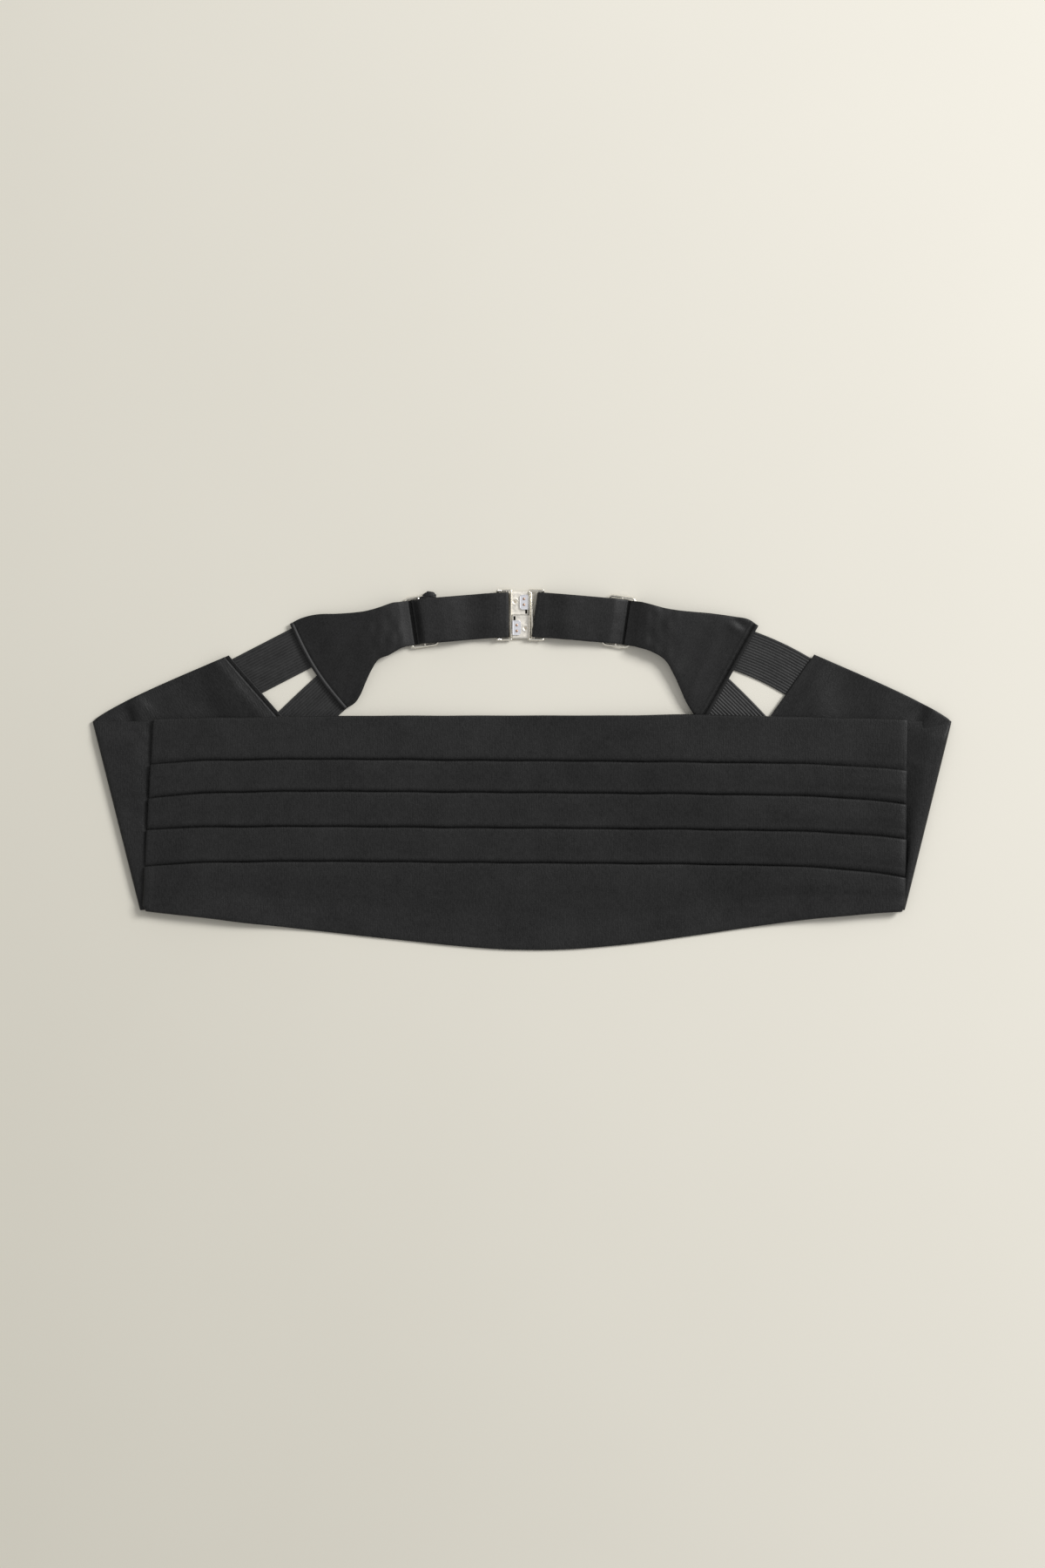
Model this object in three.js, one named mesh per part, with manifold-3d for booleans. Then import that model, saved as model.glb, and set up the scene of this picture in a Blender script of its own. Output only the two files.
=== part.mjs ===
// Cummerbund lying flat, fastened, seen from its inner side above and its pleated front below.
// Millimetres. +X runs along the pleats, +Y from the pleats towards the fastened straps, +Z up.
import * as THREE from 'three';
import { mergeVertices } from 'three/addons/utils/BufferGeometryUtils.js';
import Module from 'manifold-3d';

const wasm = await Module();
wasm.setup();

// Clearances
const gap = 0.3; // between any two pieces that lie on each other
const plyGap = 0.35; // between the plies of one folded cloth
const slotPlay = 0.6; // between a strap's edge and the end of a slider's slot

// Pleated front
const panelLength = 419.3; // along its top edge
const panelHeight = 130.5; // at the middle
const panelEndHeight = 106.2; // at the two ends
const panelCrown = 2.9; // how far the middle of the top edge stands above its ends
const panelCloth = 1.0; // thickness of the pleated cloth
const pleatDepth = 6.5; // how far a pleat goes in under its fold
const pleatSlope = 7.8; // width over which a band comes down from its pleat
const edgeTurn = 11; // width of the turned-under top and bottom edges
const turnSlope = 4; // width over which the cloth comes down from a turned-under edge
const liftRamp = 36; // width of the slope by which the panel comes down beside the wings
const liftMargin = 13; // how far the lifted part runs on past the wings
const foldTilt = 3.2; // how much lower a fold is at the right end than at the left, before its ends droop
const middleRound = 0.12; // how round the lower edge is at its middle: 0 is a plain corner

// Wings
const wingCloth = 1.1;
const wingTuck = 19; // how far a wing goes in under the panel's end
const wingTopInset = 1; // from the panel's top edge down to the wing's hidden end
const wingFootInset = 2.5; // from the panel's bottom edge up to it
const foldInset = 0.6; // from the panel's top edge down to the top of the wing's fold
const hemLength = 72; // full length of a wing's slanting hem
const hemStrip = 2.4; // width of the lower ply that shows along the left hem
const hemStripCloth = 0.45; // thickness of that ply
const hemStep = 0.1; // width of the step from the upper ply down to it

// Elastics
const elasticWidth = 24.5;
const elasticThickness = 1.1;
const ribCount = 16;
const ribHeight = 0.3;
const elasticTuck = 5; // how far an elastic goes in under a hem or a yoke
const tuckMargin = 2; // how far the cloth over an elastic's end stays level beyond it
const tuckSlope = 8; // width over which that cloth comes down to the surface

// Yokes
const yokeCloth = 1.1;
const yokeLength = 70; // from the upper corner at the elastics to the slider
const yokeDrop = 49; // from the middle of the neck down to the lower tip
const pipingWidth = 2.6; // rolled ridge along the edge at the elastics
const pipingRise = 0.5;

// Straps
const strapWidth = 25;
const strapCloth = 1.1;
const strapSpan = 54.9; // from a slider's middle bar to the clasp's centre line
const strapDrop = 3.6; // how much lower a strap is at its slider than at the clasp
const foldReturn = 3; // length of the neck's folded-back end
const foldEase = 1; // slack between a fold and the bar in it
const foldRun = 3.5; // how far a strap stays up beyond a bar before it comes down
const seamGap = 2; // between the two ends of a strap's lower ply
const tailWidth = 10.5; // rolled strap end at the left slider
const tailReach = 3.2; // how far it stands out above the strap
const tailTuck = 8; // how far it runs in under the strap
const tailShift = 4.6; // from the slider's middle bar towards the clasp
const tailThickness = 0.9;

// Sliders
const barWidth = 1.3;
const barPitch = 7.4; // between neighbouring bars
const sliderTilt = 8.5; // degrees
const sliderCorner = 2.4; // cut off each corner
const sliderSoft = 0.25; // softened edge of the stamped wire

// Clasp
const claspLift = 58.4; // from the ends of the panel's top edge up to the clasp's centre
const claspShift = -5.6; // along X, from the panel's middle
const claspHeight = 27; // of the upright rims
const claspGauge = 0.9; // sheet thickness
const rimPitch = 10.3; // between the middles of the two rims
const rimWidth = 0.95;
const rimRise = 2.4; // height of a rim above the underside of its plate
const loopReach = 8.3; // from a rim to the far side of its strap loop
const loopWidth = 1.6; // width of the loop's sides and bar
const plateInset = 0.6; // from a rim's end to the edge of its plate
const dimpleRadius = 1.45;
const dimpleInset = 2.2; // from the rim's middle to the dimple's
const dimpleLift = 7.4; // from the centre line up to the dimple's middle
const tabSlotWidth = 1.2;
const tabSlotLength = 2.4;
const tabSlotInset = 0.5; // from the plate's edges
const catchWidth = 4.7;
const catchLength = 8.2;
const catchLift = 3; // from the centre line up to the catch plate
const catchCorner = 0.9; // cut off the catch plate's corners
const catchGauge = 0.7;
const rivetRadius = 0.8;
const rivetRise = 0.3;

// Heights that follow from the thicknesses
const barThickness = 1.2; // of slider bars and loop bars
const barFloor = strapCloth + gap; // underside of every bar: it lies on the lower ply of a strap
const upperPly = barFloor + barThickness + gap; // underside of cloth that passes over a bar
const overElastic = elasticThickness + gap; // underside of cloth that lies on an elastic
const wingFront = overElastic + 0.1; // underside of a wing's front layer
// Underside of the panel where it lies on a wing or on a yoke's tip
const panelLift = gap + Math.max(wingFront + wingCloth, overElastic + yokeCloth + pipingRise);

// Folds of the pleats, down from the ends of the top edge: shares of the end height, and of the middle one
const pleatFolds = [
  { left: 0.237, middle: 0.178, right: 0.265 },
  { left: 0.415, middle: 0.314, right: 0.443 },
  { left: 0.58, middle: 0.465, right: 0.626 },
  { left: 0.772, middle: 0.613, right: 0.827 },
];

// The two sides, outwards from the middle. Lengths are shares of the size named beside each one.
const sides = {
  left: {
    sign: -1,
    splay: 0.058, // of the panel's end height: how far the end runs outwards on its way down
    foldReach: 0.318, // of the same: the fold beyond the panel's end at the top
    foldFoot: 0.01, // of the same: the fold beyond the panel's end at the bottom
    hemIn: 0.566, // of the hem's length: from the panel's end in to the hem's top
    hemUp: 0.499, // of the hem's length: from the panel's top edge up to the hem's top
    hemAngle: 48.8, // degrees between the hem and the panel's top edge
    backBow: 2.9, // millimetres by which the top edge of the wing's back layer bows out
    hasStrip: true,
    strapOver: tailThickness + gap, // the strap rides over its own rolled end
  },
  right: {
    sign: 1,
    splay: -0.011,
    foldReach: 0.231,
    foldFoot: 0.01,
    hemIn: 0.717,
    hemUp: 0.506,
    hemAngle: 54.5,
    backBow: 2.1,
    hasStrip: false,
    strapOver: 0,
  },
};

// Yoke outlines from the elastics to the neck: shares of yokeLength out from the slider, of yokeDrop up
const yokeTables = {
  left: [
    { topOut: 0.944, topUp: -0.007, footOut: 0.514, footUp: -0.977 },
    { topOut: 0.847, topUp: 0.062, footOut: 0.431, footUp: -0.908 },
    { topOut: 0.722, topUp: 0.102, footOut: 0.382, footUp: -0.809 },
    { topOut: 0.576, topUp: 0.108, footOut: 0.341, footUp: -0.67 },
    { topOut: 0.445, topUp: 0.12, footOut: 0.292, footUp: -0.522 },
    { topOut: 0.341, topUp: 0.139, footOut: 0.237, footUp: -0.408 },
    { topOut: 0.237, topUp: 0.179, footOut: 0.154, footUp: -0.358 },
    { topOut: 0.133, topUp: 0.231, footOut: 0.071, footUp: -0.289 },
  ],
  right: [
    { topOut: 1.004, topUp: -0.027, footOut: 0.595, footUp: -1.076 },
    { topOut: 0.921, topUp: 0.048, footOut: 0.533, footUp: -1.086 },
    { topOut: 0.81, topUp: 0.077, footOut: 0.484, footUp: -1.017 },
    { topOut: 0.63, topUp: 0.112, footOut: 0.429, footUp: -0.888 },
    { topOut: 0.491, topUp: 0.129, footOut: 0.38, footUp: -0.73 },
    { topOut: 0.37, topUp: 0.146, footOut: 0.332, footUp: -0.581 },
    { topOut: 0.256, topUp: 0.173, footOut: 0.263, footUp: -0.418 },
    { topOut: 0.145, topUp: 0.216, footOut: 0.152, footUp: -0.319 },
  ],
};

// Elastics: shares of the hem's length and of the yoke's edge at which their middle lines end
const elasticTable = [
  { name: 'elastic_upper_left', side: 'left', atHem: 0.209, atYoke: 0.26 },
  { name: 'elastic_lower_left', side: 'left', atHem: 0.744, atYoke: 0.782 },
  { name: 'elastic_upper_right', side: 'right', atHem: 0.206, atYoke: 0.268 },
  { name: 'elastic_lower_right', side: 'right', atHem: 0.783, atYoke: 0.79 },
];

const radians = (degrees) => (degrees * Math.PI) / 180;
const mix = (a, b, share) => a + (b - a) * share;
const plan = (x, y) => new THREE.Vector2(x, y);
const mixPlan = (a, b, share) => plan(mix(a.x, b.x, share), mix(a.y, b.y, share));
const smooth = (value, from, to) => THREE.MathUtils.smoothstep(value, from, to);

// Where two straight lines cross, each given by a point and a direction
function crossing(pointA, alongA, pointB, alongB) {
  const between = pointB.clone().sub(pointA);
  const share = between.cross(alongB) / alongA.cross(alongB);
  return pointA.clone().addScaledVector(alongA, share);
}

// A closed body round a grid of mid-surface points. Its over side is the one that faces up at the first
// point, and over(i, j) and under(i, j) say how far the body reaches from the grid on either side.
function clothFromGrid(grid, over, under) {
  const rows = grid.length;
  const columns = grid[0].length;
  const normalAt = (i, j) => {
    const along = grid[Math.min(i + 1, rows - 1)][j].clone().sub(grid[Math.max(i - 1, 0)][j]);
    const across = grid[i][Math.min(j + 1, columns - 1)].clone().sub(grid[i][Math.max(j - 1, 0)]);
    return along.cross(across).normalize();
  };
  const up = Math.sign(normalAt(0, 0).z);
  const overPoints = [];
  const underPoints = [];
  grid.forEach((row, i) => row.forEach((point, j) => {
    const normal = normalAt(i, j).multiplyScalar(up);
    overPoints.push(point.clone().addScaledVector(normal, over(i, j)));
    underPoints.push(point.clone().addScaledVector(normal, -under(i, j)));
  }));
  const positions = [...overPoints, ...underPoints].flatMap((point) => point.toArray());
  const faces = [];
  const quad = (a, b, c, d) => faces.push(a, b, c, a, c, d);
  const top = (i, j) => i * columns + j;
  const low = (i, j) => rows * columns + i * columns + j;
  for (let i = 0; i < rows - 1; i++) {
    for (let j = 0; j < columns - 1; j++) {
      quad(top(i, j), top(i + 1, j), top(i + 1, j + 1), top(i, j + 1));
      quad(low(i, j), low(i, j + 1), low(i + 1, j + 1), low(i + 1, j));
    }
    const j = columns - 1;
    quad(top(i, 0), low(i, 0), low(i + 1, 0), top(i + 1, 0));
    quad(top(i + 1, j), low(i + 1, j), low(i, j), top(i, j));
  }
  for (let j = 0; j < columns - 1; j++) {
    const i = rows - 1;
    quad(top(0, j + 1), low(0, j + 1), low(0, j), top(0, j));
    quad(top(i, j), low(i, j), low(i, j + 1), top(i, j + 1));
  }
  const geometry = new THREE.BufferGeometry();
  geometry.setAttribute('position', new THREE.Float32BufferAttribute(positions, 3));
  geometry.setIndex(faces);
  return facingOut(geometry);
}

// The same, with one thickness all over
function evenCloth(grid, thickness) {
  const half = () => thickness / 2;
  return clothFromGrid(grid, half, half);
}

// Turns every face round if the body's volume comes out negative
function facingOut(geometry) {
  const index = geometry.getIndex();
  const place = geometry.getAttribute('position');
  const corner = [new THREE.Vector3(), new THREE.Vector3(), new THREE.Vector3()];
  let volume = 0;
  for (let face = 0; face < index.count; face += 3) {
    corner.forEach((point, k) => point.fromBufferAttribute(place, index.getX(face + k)));
    volume += corner[0].dot(corner[1].clone().cross(corner[2]));
  }
  if (volume < 0) {
    for (let face = 0; face < index.count; face += 3) {
      const second = index.getX(face + 1);
      index.setX(face + 1, index.getX(face + 2));
      index.setX(face + 2, second);
    }
  }
  return geometry;
}

// Half a turn of a folded cloth, from its low ply to its high one, standing out towards the side of sign
function halfTurn(along, low, high, sign) {
  const radius = (high - low) / 2;
  const steps = 4;
  return Array.from({ length: steps + 1 }, (_, k) => {
    const angle = radians(mix(-90, 90, k / steps));
    return { along: along + sign * radius * Math.cos(angle), height: low + radius * (1 + Math.sin(angle)) };
  });
}

// Plan of one side: the wing's corners, the hem line, the yoke's edge and the slider

function layOut(name) {
  const side = sides[name];
  const out = (x, y) => plan(x * side.sign, y);
  const claspX = claspShift * side.sign;
  const end = panelLength / 2;
  const hemTop = out(end - side.hemIn * hemLength, side.hemUp * hemLength);
  const hemAlong = out(-Math.cos(radians(side.hemAngle)), -Math.sin(radians(side.hemAngle)));
  const slider = out(claspX + strapSpan, claspLift - strapDrop);
  const tilt = radians(sliderTilt);
  const outward = out(Math.cos(tilt), -Math.sin(tilt));
  const barAlong = out(Math.sin(tilt), Math.cos(tilt));
  const neck = slider.clone().addScaledVector(outward, barPitch);
  const yoke = yokeTables[name].map((row) => ({
    top: out(neck.x * side.sign + row.topOut * yokeLength, neck.y + row.topUp * yokeDrop),
    foot: out(neck.x * side.sign + row.footOut * yokeLength, neck.y + row.footUp * yokeDrop),
  }));
  return {
    ...side,
    foldTop: out(end + side.foldReach * panelEndHeight, -foldInset),
    foldFoot: out(end + (side.splay + side.foldFoot) * panelEndHeight, gap - panelEndHeight),
    innerTop: out(end - wingTuck, -wingTopInset),
    innerFoot: out(end - wingTuck, wingFootInset - panelEndHeight),
    hemTop,
    hemAlong,
    hemFoot: hemTop.clone().addScaledVector(hemAlong, hemLength),
    clasp: plan(claspShift, claspLift),
    slider,
    outward,
    barAlong,
    neck,
    yoke,
    yokeAlong: yoke[0].foot.clone().sub(yoke[0].top),
  };
}
const layout = { left: layOut('left'), right: layOut('right') };

// Height of cloth over an elastic's end, at a distance in from the cloth's edge
function liftOnElastic(distance) {
  const level = elasticTuck + tuckMargin;
  return overElastic * (1 - smooth(distance, level, level + tuckSlope));
}

// Panel. A share of 0 is its left end and 1 its right one; along is the place up (+) or down (-) its height.

const awayFromMiddle = (share) => Math.abs(2 * share - 1);
const topLine = (share) => panelCrown * (1 - awayFromMiddle(share) ** 4);

// The lower edge: straight slopes that meet in a rounded middle
function lowerLine(share) {
  const bend = (away) => Math.hypot(away, middleRound) - middleRound;
  const slope = bend(awayFromMiddle(share)) / bend(1);
  return mix(panelCrown - panelHeight, -panelEndHeight, slope);
}

// A fold is nearly level and droops close to the ends
function foldLine(fold, share) {
  const end = share < 0.5 ? fold.left : fold.right;
  const droop = awayFromMiddle(share) ** 6;
  const level = -fold.middle * panelHeight - foldTilt * (share - 0.5);
  return mix(level, -end * panelEndHeight, droop);
}

// Height by which the wing, the elastics and the yoke below lift the panel at a point
function liftAt(x, y) {
  const lifts = Object.values(layout).map((side) => {
    const lowerEdge = side.foldFoot.clone().sub(side.hemFoot).normalize();
    const overBack = lowerEdge.cross(plan(x, y).sub(side.hemFoot)) * side.sign;
    const overFront = (x - side.innerTop.x) * side.sign;
    return panelLift * smooth(Math.max(overBack, overFront), -liftRamp, -liftMargin);
  });
  return Math.max(...lifts);
}

function frontPanel() {
  const low = panelCloth / 2;
  const middle = low + panelCloth + plyGap;
  const high = middle + panelCloth + plyGap;
  const round = (middle - low) / 2;
  const pathAt = (share) => {
    const path = [];
    const go = (along, height) => path.push({ along, height });
    const top = topLine(share);
    go(top - edgeTurn, low);
    go(top - edgeTurn / 2, low);
    path.push(...halfTurn(top - round, low, middle, 1));
    go(top - edgeTurn, middle);
    go(top - edgeTurn - turnSlope, low);
    for (const fold of pleatFolds) {
      const lip = foldLine(fold, share);
      const inner = lip - pleatDepth;
      go(lip, low);
      path.push(...halfTurn(inner + round, low, middle, -1));
      path.push(...halfTurn(lip - round, middle, high, 1));
      for (const part of [0, 0.35, 0.65, 1]) {
        go(inner - pleatSlope * part, mix(high, low, smooth(part, 0, 1)));
      }
    }
    const bottom = lowerLine(share);
    go(bottom + edgeTurn * 2, low);
    go(bottom + edgeTurn + turnSlope, low);
    go(bottom + edgeTurn, middle);
    path.push(...halfTurn(bottom + round, low, middle, -1).reverse());
    go(bottom + edgeTurn / 2, low);
    go(bottom + edgeTurn, low);
    return path;
  };
  const halfShares = [0, 0.04, 0.1, 0.18, 0.28, 0.38, 0.45];
  const shares = [...halfShares, 0.5, ...halfShares.map((share) => 1 - share).reverse()];
  const paths = shares.map(pathAt);
  const grid = paths[0].map((_, i) =>
    shares.map((share, j) => {
      const { along, height } = paths[j][i];
      const left = -panelLength / 2 + sides.left.splay * along;
      const right = panelLength / 2 - sides.right.splay * along;
      const x = mix(left, right, share);
      return new THREE.Vector3(x, along, height + liftAt(x, along));
    }),
  );
  return evenCloth(grid, panelCloth);
}

// Wing: front layer, slanting fold and back layer in one cloth

function wing(name) {
  const side = layout[name];
  const low = wingCloth / 2;
  const high = wingFront + wingCloth / 2;
  const radius = (high - low) / 2;
  const foldSteps = 4;
  const downShares = [0, 0.2, 0.4, 0.6, 0.8, 0.93, 1];
  const backShares = [0.08, 0.2, 0.4, 0.6, 0.8];
  const level = elasticTuck + tuckMargin;
  const climb = [1, 0.7, 0.35, 0].map((part) => level + tuckSlope * part);
  const hemDistances = [...climb, level / 2, hemStrip + hemStep, hemStrip, 0];
  const grid = downShares.map((share) => {
    const fold = mixPlan(side.foldTop, side.foldFoot, share);
    const inner = mixPlan(side.innerTop, side.innerFoot, share);
    const hem = mixPlan(side.hemTop, side.hemFoot, share);
    const length = fold.distanceTo(hem);
    const bow = (part) => side.backBow * Math.sin(Math.PI * Math.sqrt(part)) * (1 - share);
    const row = [];
    const put = (point, height) => row.push(new THREE.Vector3(point.x, point.y, height));
    for (const part of [0, 0.25, 0.5, 0.75]) {
      put(mixPlan(inner, fold, part), high);
    }
    const toHem = hem.clone().sub(fold).normalize();
    const toInner = inner.clone().sub(fold).normalize();
    for (let k = 0; k <= foldSteps; k++) {
      const angle = radians(mix(90, -90, k / foldSteps));
      const reach = radius * (1 - Math.cos(angle));
      const way = mixPlan(toInner, toHem, k / foldSteps).normalize();
      put(fold.clone().addScaledVector(way, reach), (low + high) / 2 + radius * Math.sin(angle));
    }
    for (const share of backShares) {
      const part = share * (1 - climb[0] / length);
      put(mixPlan(fold, hem, part).add(plan(0, bow(part))), low);
    }
    for (const distance of hemDistances) {
      const part = 1 - distance / length;
      const point = mixPlan(fold, hem, part).add(plan(0, bow(part)));
      put(point, low + liftOnElastic(distance));
    }
    return row;
  });
  // Along a hem with a strip the upper ply stops short, and only the lower one runs on
  const last = grid[0].length - 1;
  const lower = wingCloth / 2;
  const upper = (i, j) => (side.hasStrip && j >= last - 1 ? hemStripCloth - lower : wingCloth / 2);
  return clothFromGrid(grid, () => lower, upper);
}

// Elastic: a straight ribbed band whose ends are cut along the hem and along the yoke's edge

function elastic(row) {
  const side = layout[row.side];
  const hemInward = side.foldTop.clone().sub(side.hemTop);
  const hemNormal = plan(-side.hemAlong.y, side.hemAlong.x);
  hemNormal.multiplyScalar(Math.sign(hemNormal.dot(hemInward)));
  const yokeInward = side.neck.clone().sub(side.yoke[0].top);
  const yokeNormal = plan(-side.yokeAlong.y, side.yokeAlong.x).normalize();
  yokeNormal.multiplyScalar(Math.sign(yokeNormal.dot(yokeInward)));
  const atHem = side.hemTop.clone().addScaledVector(side.hemAlong, row.atHem * hemLength);
  const atYoke = side.yoke[0].top.clone().addScaledVector(side.yokeAlong, row.atYoke);
  const along = atYoke.clone().sub(atHem).normalize();
  const across = plan(-along.y, along.x);
  const cutHem = atHem.clone().addScaledVector(hemNormal, elasticTuck);
  const cutYoke = atYoke.clone().addScaledVector(yokeNormal, elasticTuck);
  const steps = ribCount * 2;
  const grid = [];
  for (let i = 0; i <= steps; i++) {
    const start = atHem.clone().addScaledVector(across, elasticWidth * (i / steps - 0.5));
    const first = crossing(start, along, cutHem, side.hemAlong);
    const last = crossing(start, along, cutYoke, side.yokeAlong);
    grid.push([0, 0.5, 1].map((share) => {
      const point = mixPlan(first, last, share);
      return new THREE.Vector3(point.x, point.y, elasticThickness / 2);
    }));
  }
  const ribbed = (i) => elasticThickness / 2 - (i % 2 === 0 ? ribHeight : 0);
  return clothFromGrid(grid, ribbed, () => elasticThickness / 2);
}

// Yoke: spread tab with a rolled edge, narrowing to a neck that folds round the slider's outer bar

function yoke(name) {
  const side = layout[name];
  const half = yokeCloth / 2;
  const rows = [];
  const put = (top, foot, height) => rows.push({ top, foot, height });
  const [edge, next] = side.yoke;
  for (const part of [0, 0.5, 1]) {
    const topShare = (pipingWidth * part) / edge.top.distanceTo(next.top);
    const footShare = (pipingWidth * part) / edge.foot.distanceTo(next.foot);
    put(mixPlan(edge.top, next.top, topShare), mixPlan(edge.foot, next.foot, footShare), half);
  }
  side.yoke.slice(1).forEach((row) => put(row.top, row.foot, half));
  const inward = plan(-side.yokeAlong.y, side.yokeAlong.x).normalize().multiplyScalar(-side.sign);
  const neckAt = (distance, height) => {
    const middle = side.neck.clone().addScaledVector(side.outward, distance);
    const top = middle.clone().addScaledVector(side.barAlong, strapWidth / 2);
    const foot = middle.clone().addScaledVector(side.barAlong, -strapWidth / 2);
    put(top, foot, height);
  };
  neckAt(foldReturn, upperPly + half);
  const turn = halfTurn(-foldEase, half, upperPly + half, -1).reverse();
  turn.forEach((step) => neckAt(step.along, step.height));
  neckAt(foldReturn, half);
  const grid = rows.map((row) =>
    [0, 0.25, 0.5, 0.75, 1].map((share) => {
      const point = mixPlan(row.top, row.foot, share);
      const away = point.clone().sub(edge.top).dot(inward);
      return new THREE.Vector3(point.x, point.y, row.height + liftOnElastic(away));
    }),
  );
  return clothFromGrid(grid, (i) => half + (i === 1 ? pipingRise : 0), () => half);
}

// Strap: one cloth folded round the slider's middle bar and round the clasp's loop bar

function strap(name) {
  const side = layout[name];
  const low = strapCloth / 2;
  const high = upperPly + low;
  const over = high + side.strapOver;
  const resting = low + strapCloth + gap;
  const barOut = rimPitch / 2 + loopReach - loopWidth / 2;
  const loopBar = plan(side.clasp.x + side.sign * barOut, side.clasp.y);
  const length = side.slider.distanceTo(loopBar);
  const seam = length * 0.575;
  const path = [];
  const go = (along, height) => path.push({ along, height });
  go(seam - seamGap / 2, low);
  go(length * 0.25, low);
  path.push(...halfTurn(-foldEase, low, over, -1));
  go(barPitch, over);
  go(barPitch + foldRun, over);
  go(length * 0.5, resting);
  go(length * 0.66, resting);
  go(length - foldRun, high);
  path.push(...halfTurn(length + foldEase, low, high, 1).reverse());
  go(length * 0.8, low);
  go(seam + seamGap / 2, low);
  const grid = path.map((step) => {
    const share = THREE.MathUtils.clamp(step.along / length, 0, 1);
    const middle = mixPlan(side.slider, loopBar, step.along / length);
    const lean = radians(sliderTilt * side.sign * (1 - share));
    const across = plan(Math.sin(lean), Math.cos(lean));
    return [0.5, 0, -0.5].map((part) => {
      const point = middle.clone().addScaledVector(across, part * strapWidth);
      return new THREE.Vector3(point.x, point.y, step.height);
    });
  });
  return evenCloth(grid, strapCloth);
}

// Rolled end of the left strap, lying on the slider's end and under the upper ply

function strapTail() {
  const side = layout.left;
  const middle = side.slider.clone().addScaledVector(side.outward, -tailShift);
  const height = upperPly + tailThickness / 2;
  const edge = strapWidth / 2;
  const flatness = 0.85; // 1 would be a half ellipse, and less leaves square shoulders
  const grid = [0, 0.25, 0.5, 0.75, 1].map((part) => {
    const aside = 2 * part - 1;
    const dome = tailReach * Math.sqrt(1 - flatness * aside ** 2);
    return [edge - tailTuck, edge, edge + dome].map((reach) => {
      const point = middle.clone().addScaledVector(side.outward, (aside * tailWidth) / 2);
      point.addScaledVector(side.barAlong, reach);
      return new THREE.Vector3(point.x, point.y, height);
    });
  });
  return evenCloth(grid, tailThickness);
}

// Joins and cuts

function solidOf(geometry) {
  const bare = geometry.clone();
  bare.deleteAttribute('normal');
  bare.deleteAttribute('uv');
  const merged = mergeVertices(bare, 1e-5);
  const vertProperties = new Float32Array(merged.getAttribute('position').array);
  const triVerts = new Uint32Array(merged.getIndex().array);
  return new wasm.Manifold(new wasm.Mesh({ numProp: 3, vertProperties, triVerts }));
}

function geometryOf(solid) {
  const mesh = solid.getMesh();
  const geometry = new THREE.BufferGeometry();
  geometry.setAttribute('position', new THREE.BufferAttribute(new Float32Array(mesh.vertProperties), 3));
  geometry.setIndex(new THREE.BufferAttribute(new Uint32Array(mesh.triVerts), 1));
  return geometry;
}

function block(xFrom, xTo, yFrom, yTo, zFrom, zTo) {
  const geometry = new THREE.BoxGeometry(xTo - xFrom, yTo - yFrom, zTo - zFrom);
  return geometry.translate((xFrom + xTo) / 2, (yFrom + yTo) / 2, (zFrom + zTo) / 2);
}

// A straight-sided solid over an outline in plan
function prism(outline, zFrom, zTo) {
  const shape = new THREE.Shape(outline);
  const geometry = new THREE.ExtrudeGeometry(shape, { depth: zTo - zFrom, bevelEnabled: false });
  return solidOf(geometry.translate(0, 0, zFrom));
}

// Slider: stamped three-bar slide with cut corners and softened outer edges

function slider(name) {
  const side = layout[name];
  const high = strapWidth / 2 + slotPlay;
  const x = barPitch + barWidth / 2 - sliderSoft;
  const y = high + barWidth - sliderSoft;
  const outline = [
    plan(-x, sliderCorner - y), plan(sliderCorner - x, -y), plan(x - sliderCorner, -y),
    plan(x, sliderCorner - y), plan(x, y - sliderCorner), plan(x - sliderCorner, y),
    plan(sliderCorner - x, y), plan(-x, y - sliderCorner),
  ];
  const plate = new THREE.ExtrudeGeometry(new THREE.Shape(outline), {
    depth: barThickness - 2 * sliderSoft,
    bevelEnabled: true,
    bevelThickness: sliderSoft,
    bevelSize: sliderSoft,
    bevelSegments: 1,
  });
  let body = solidOf(plate.translate(0, 0, sliderSoft));
  const near = barWidth / 2;
  const far = barPitch - barWidth / 2;
  const cut = sliderCorner - barWidth;
  for (const sign of [-1, 1]) {
    const slot = [
      plan(sign * near, -high), plan(sign * (far - cut), -high), plan(sign * far, cut - high),
      plan(sign * far, high - cut), plan(sign * (far - cut), high), plan(sign * near, high),
    ];
    body = body.subtract(prism(slot, -1, barThickness + 1));
  }
  const geometry = geometryOf(body);
  geometry.rotateZ(radians(-sliderTilt * side.sign));
  return geometry.translate(side.slider.x, side.slider.y, barFloor);
}

// Clasp half, seen as the left one: plate above the centre line, upright rim, and loop for the strap

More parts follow.
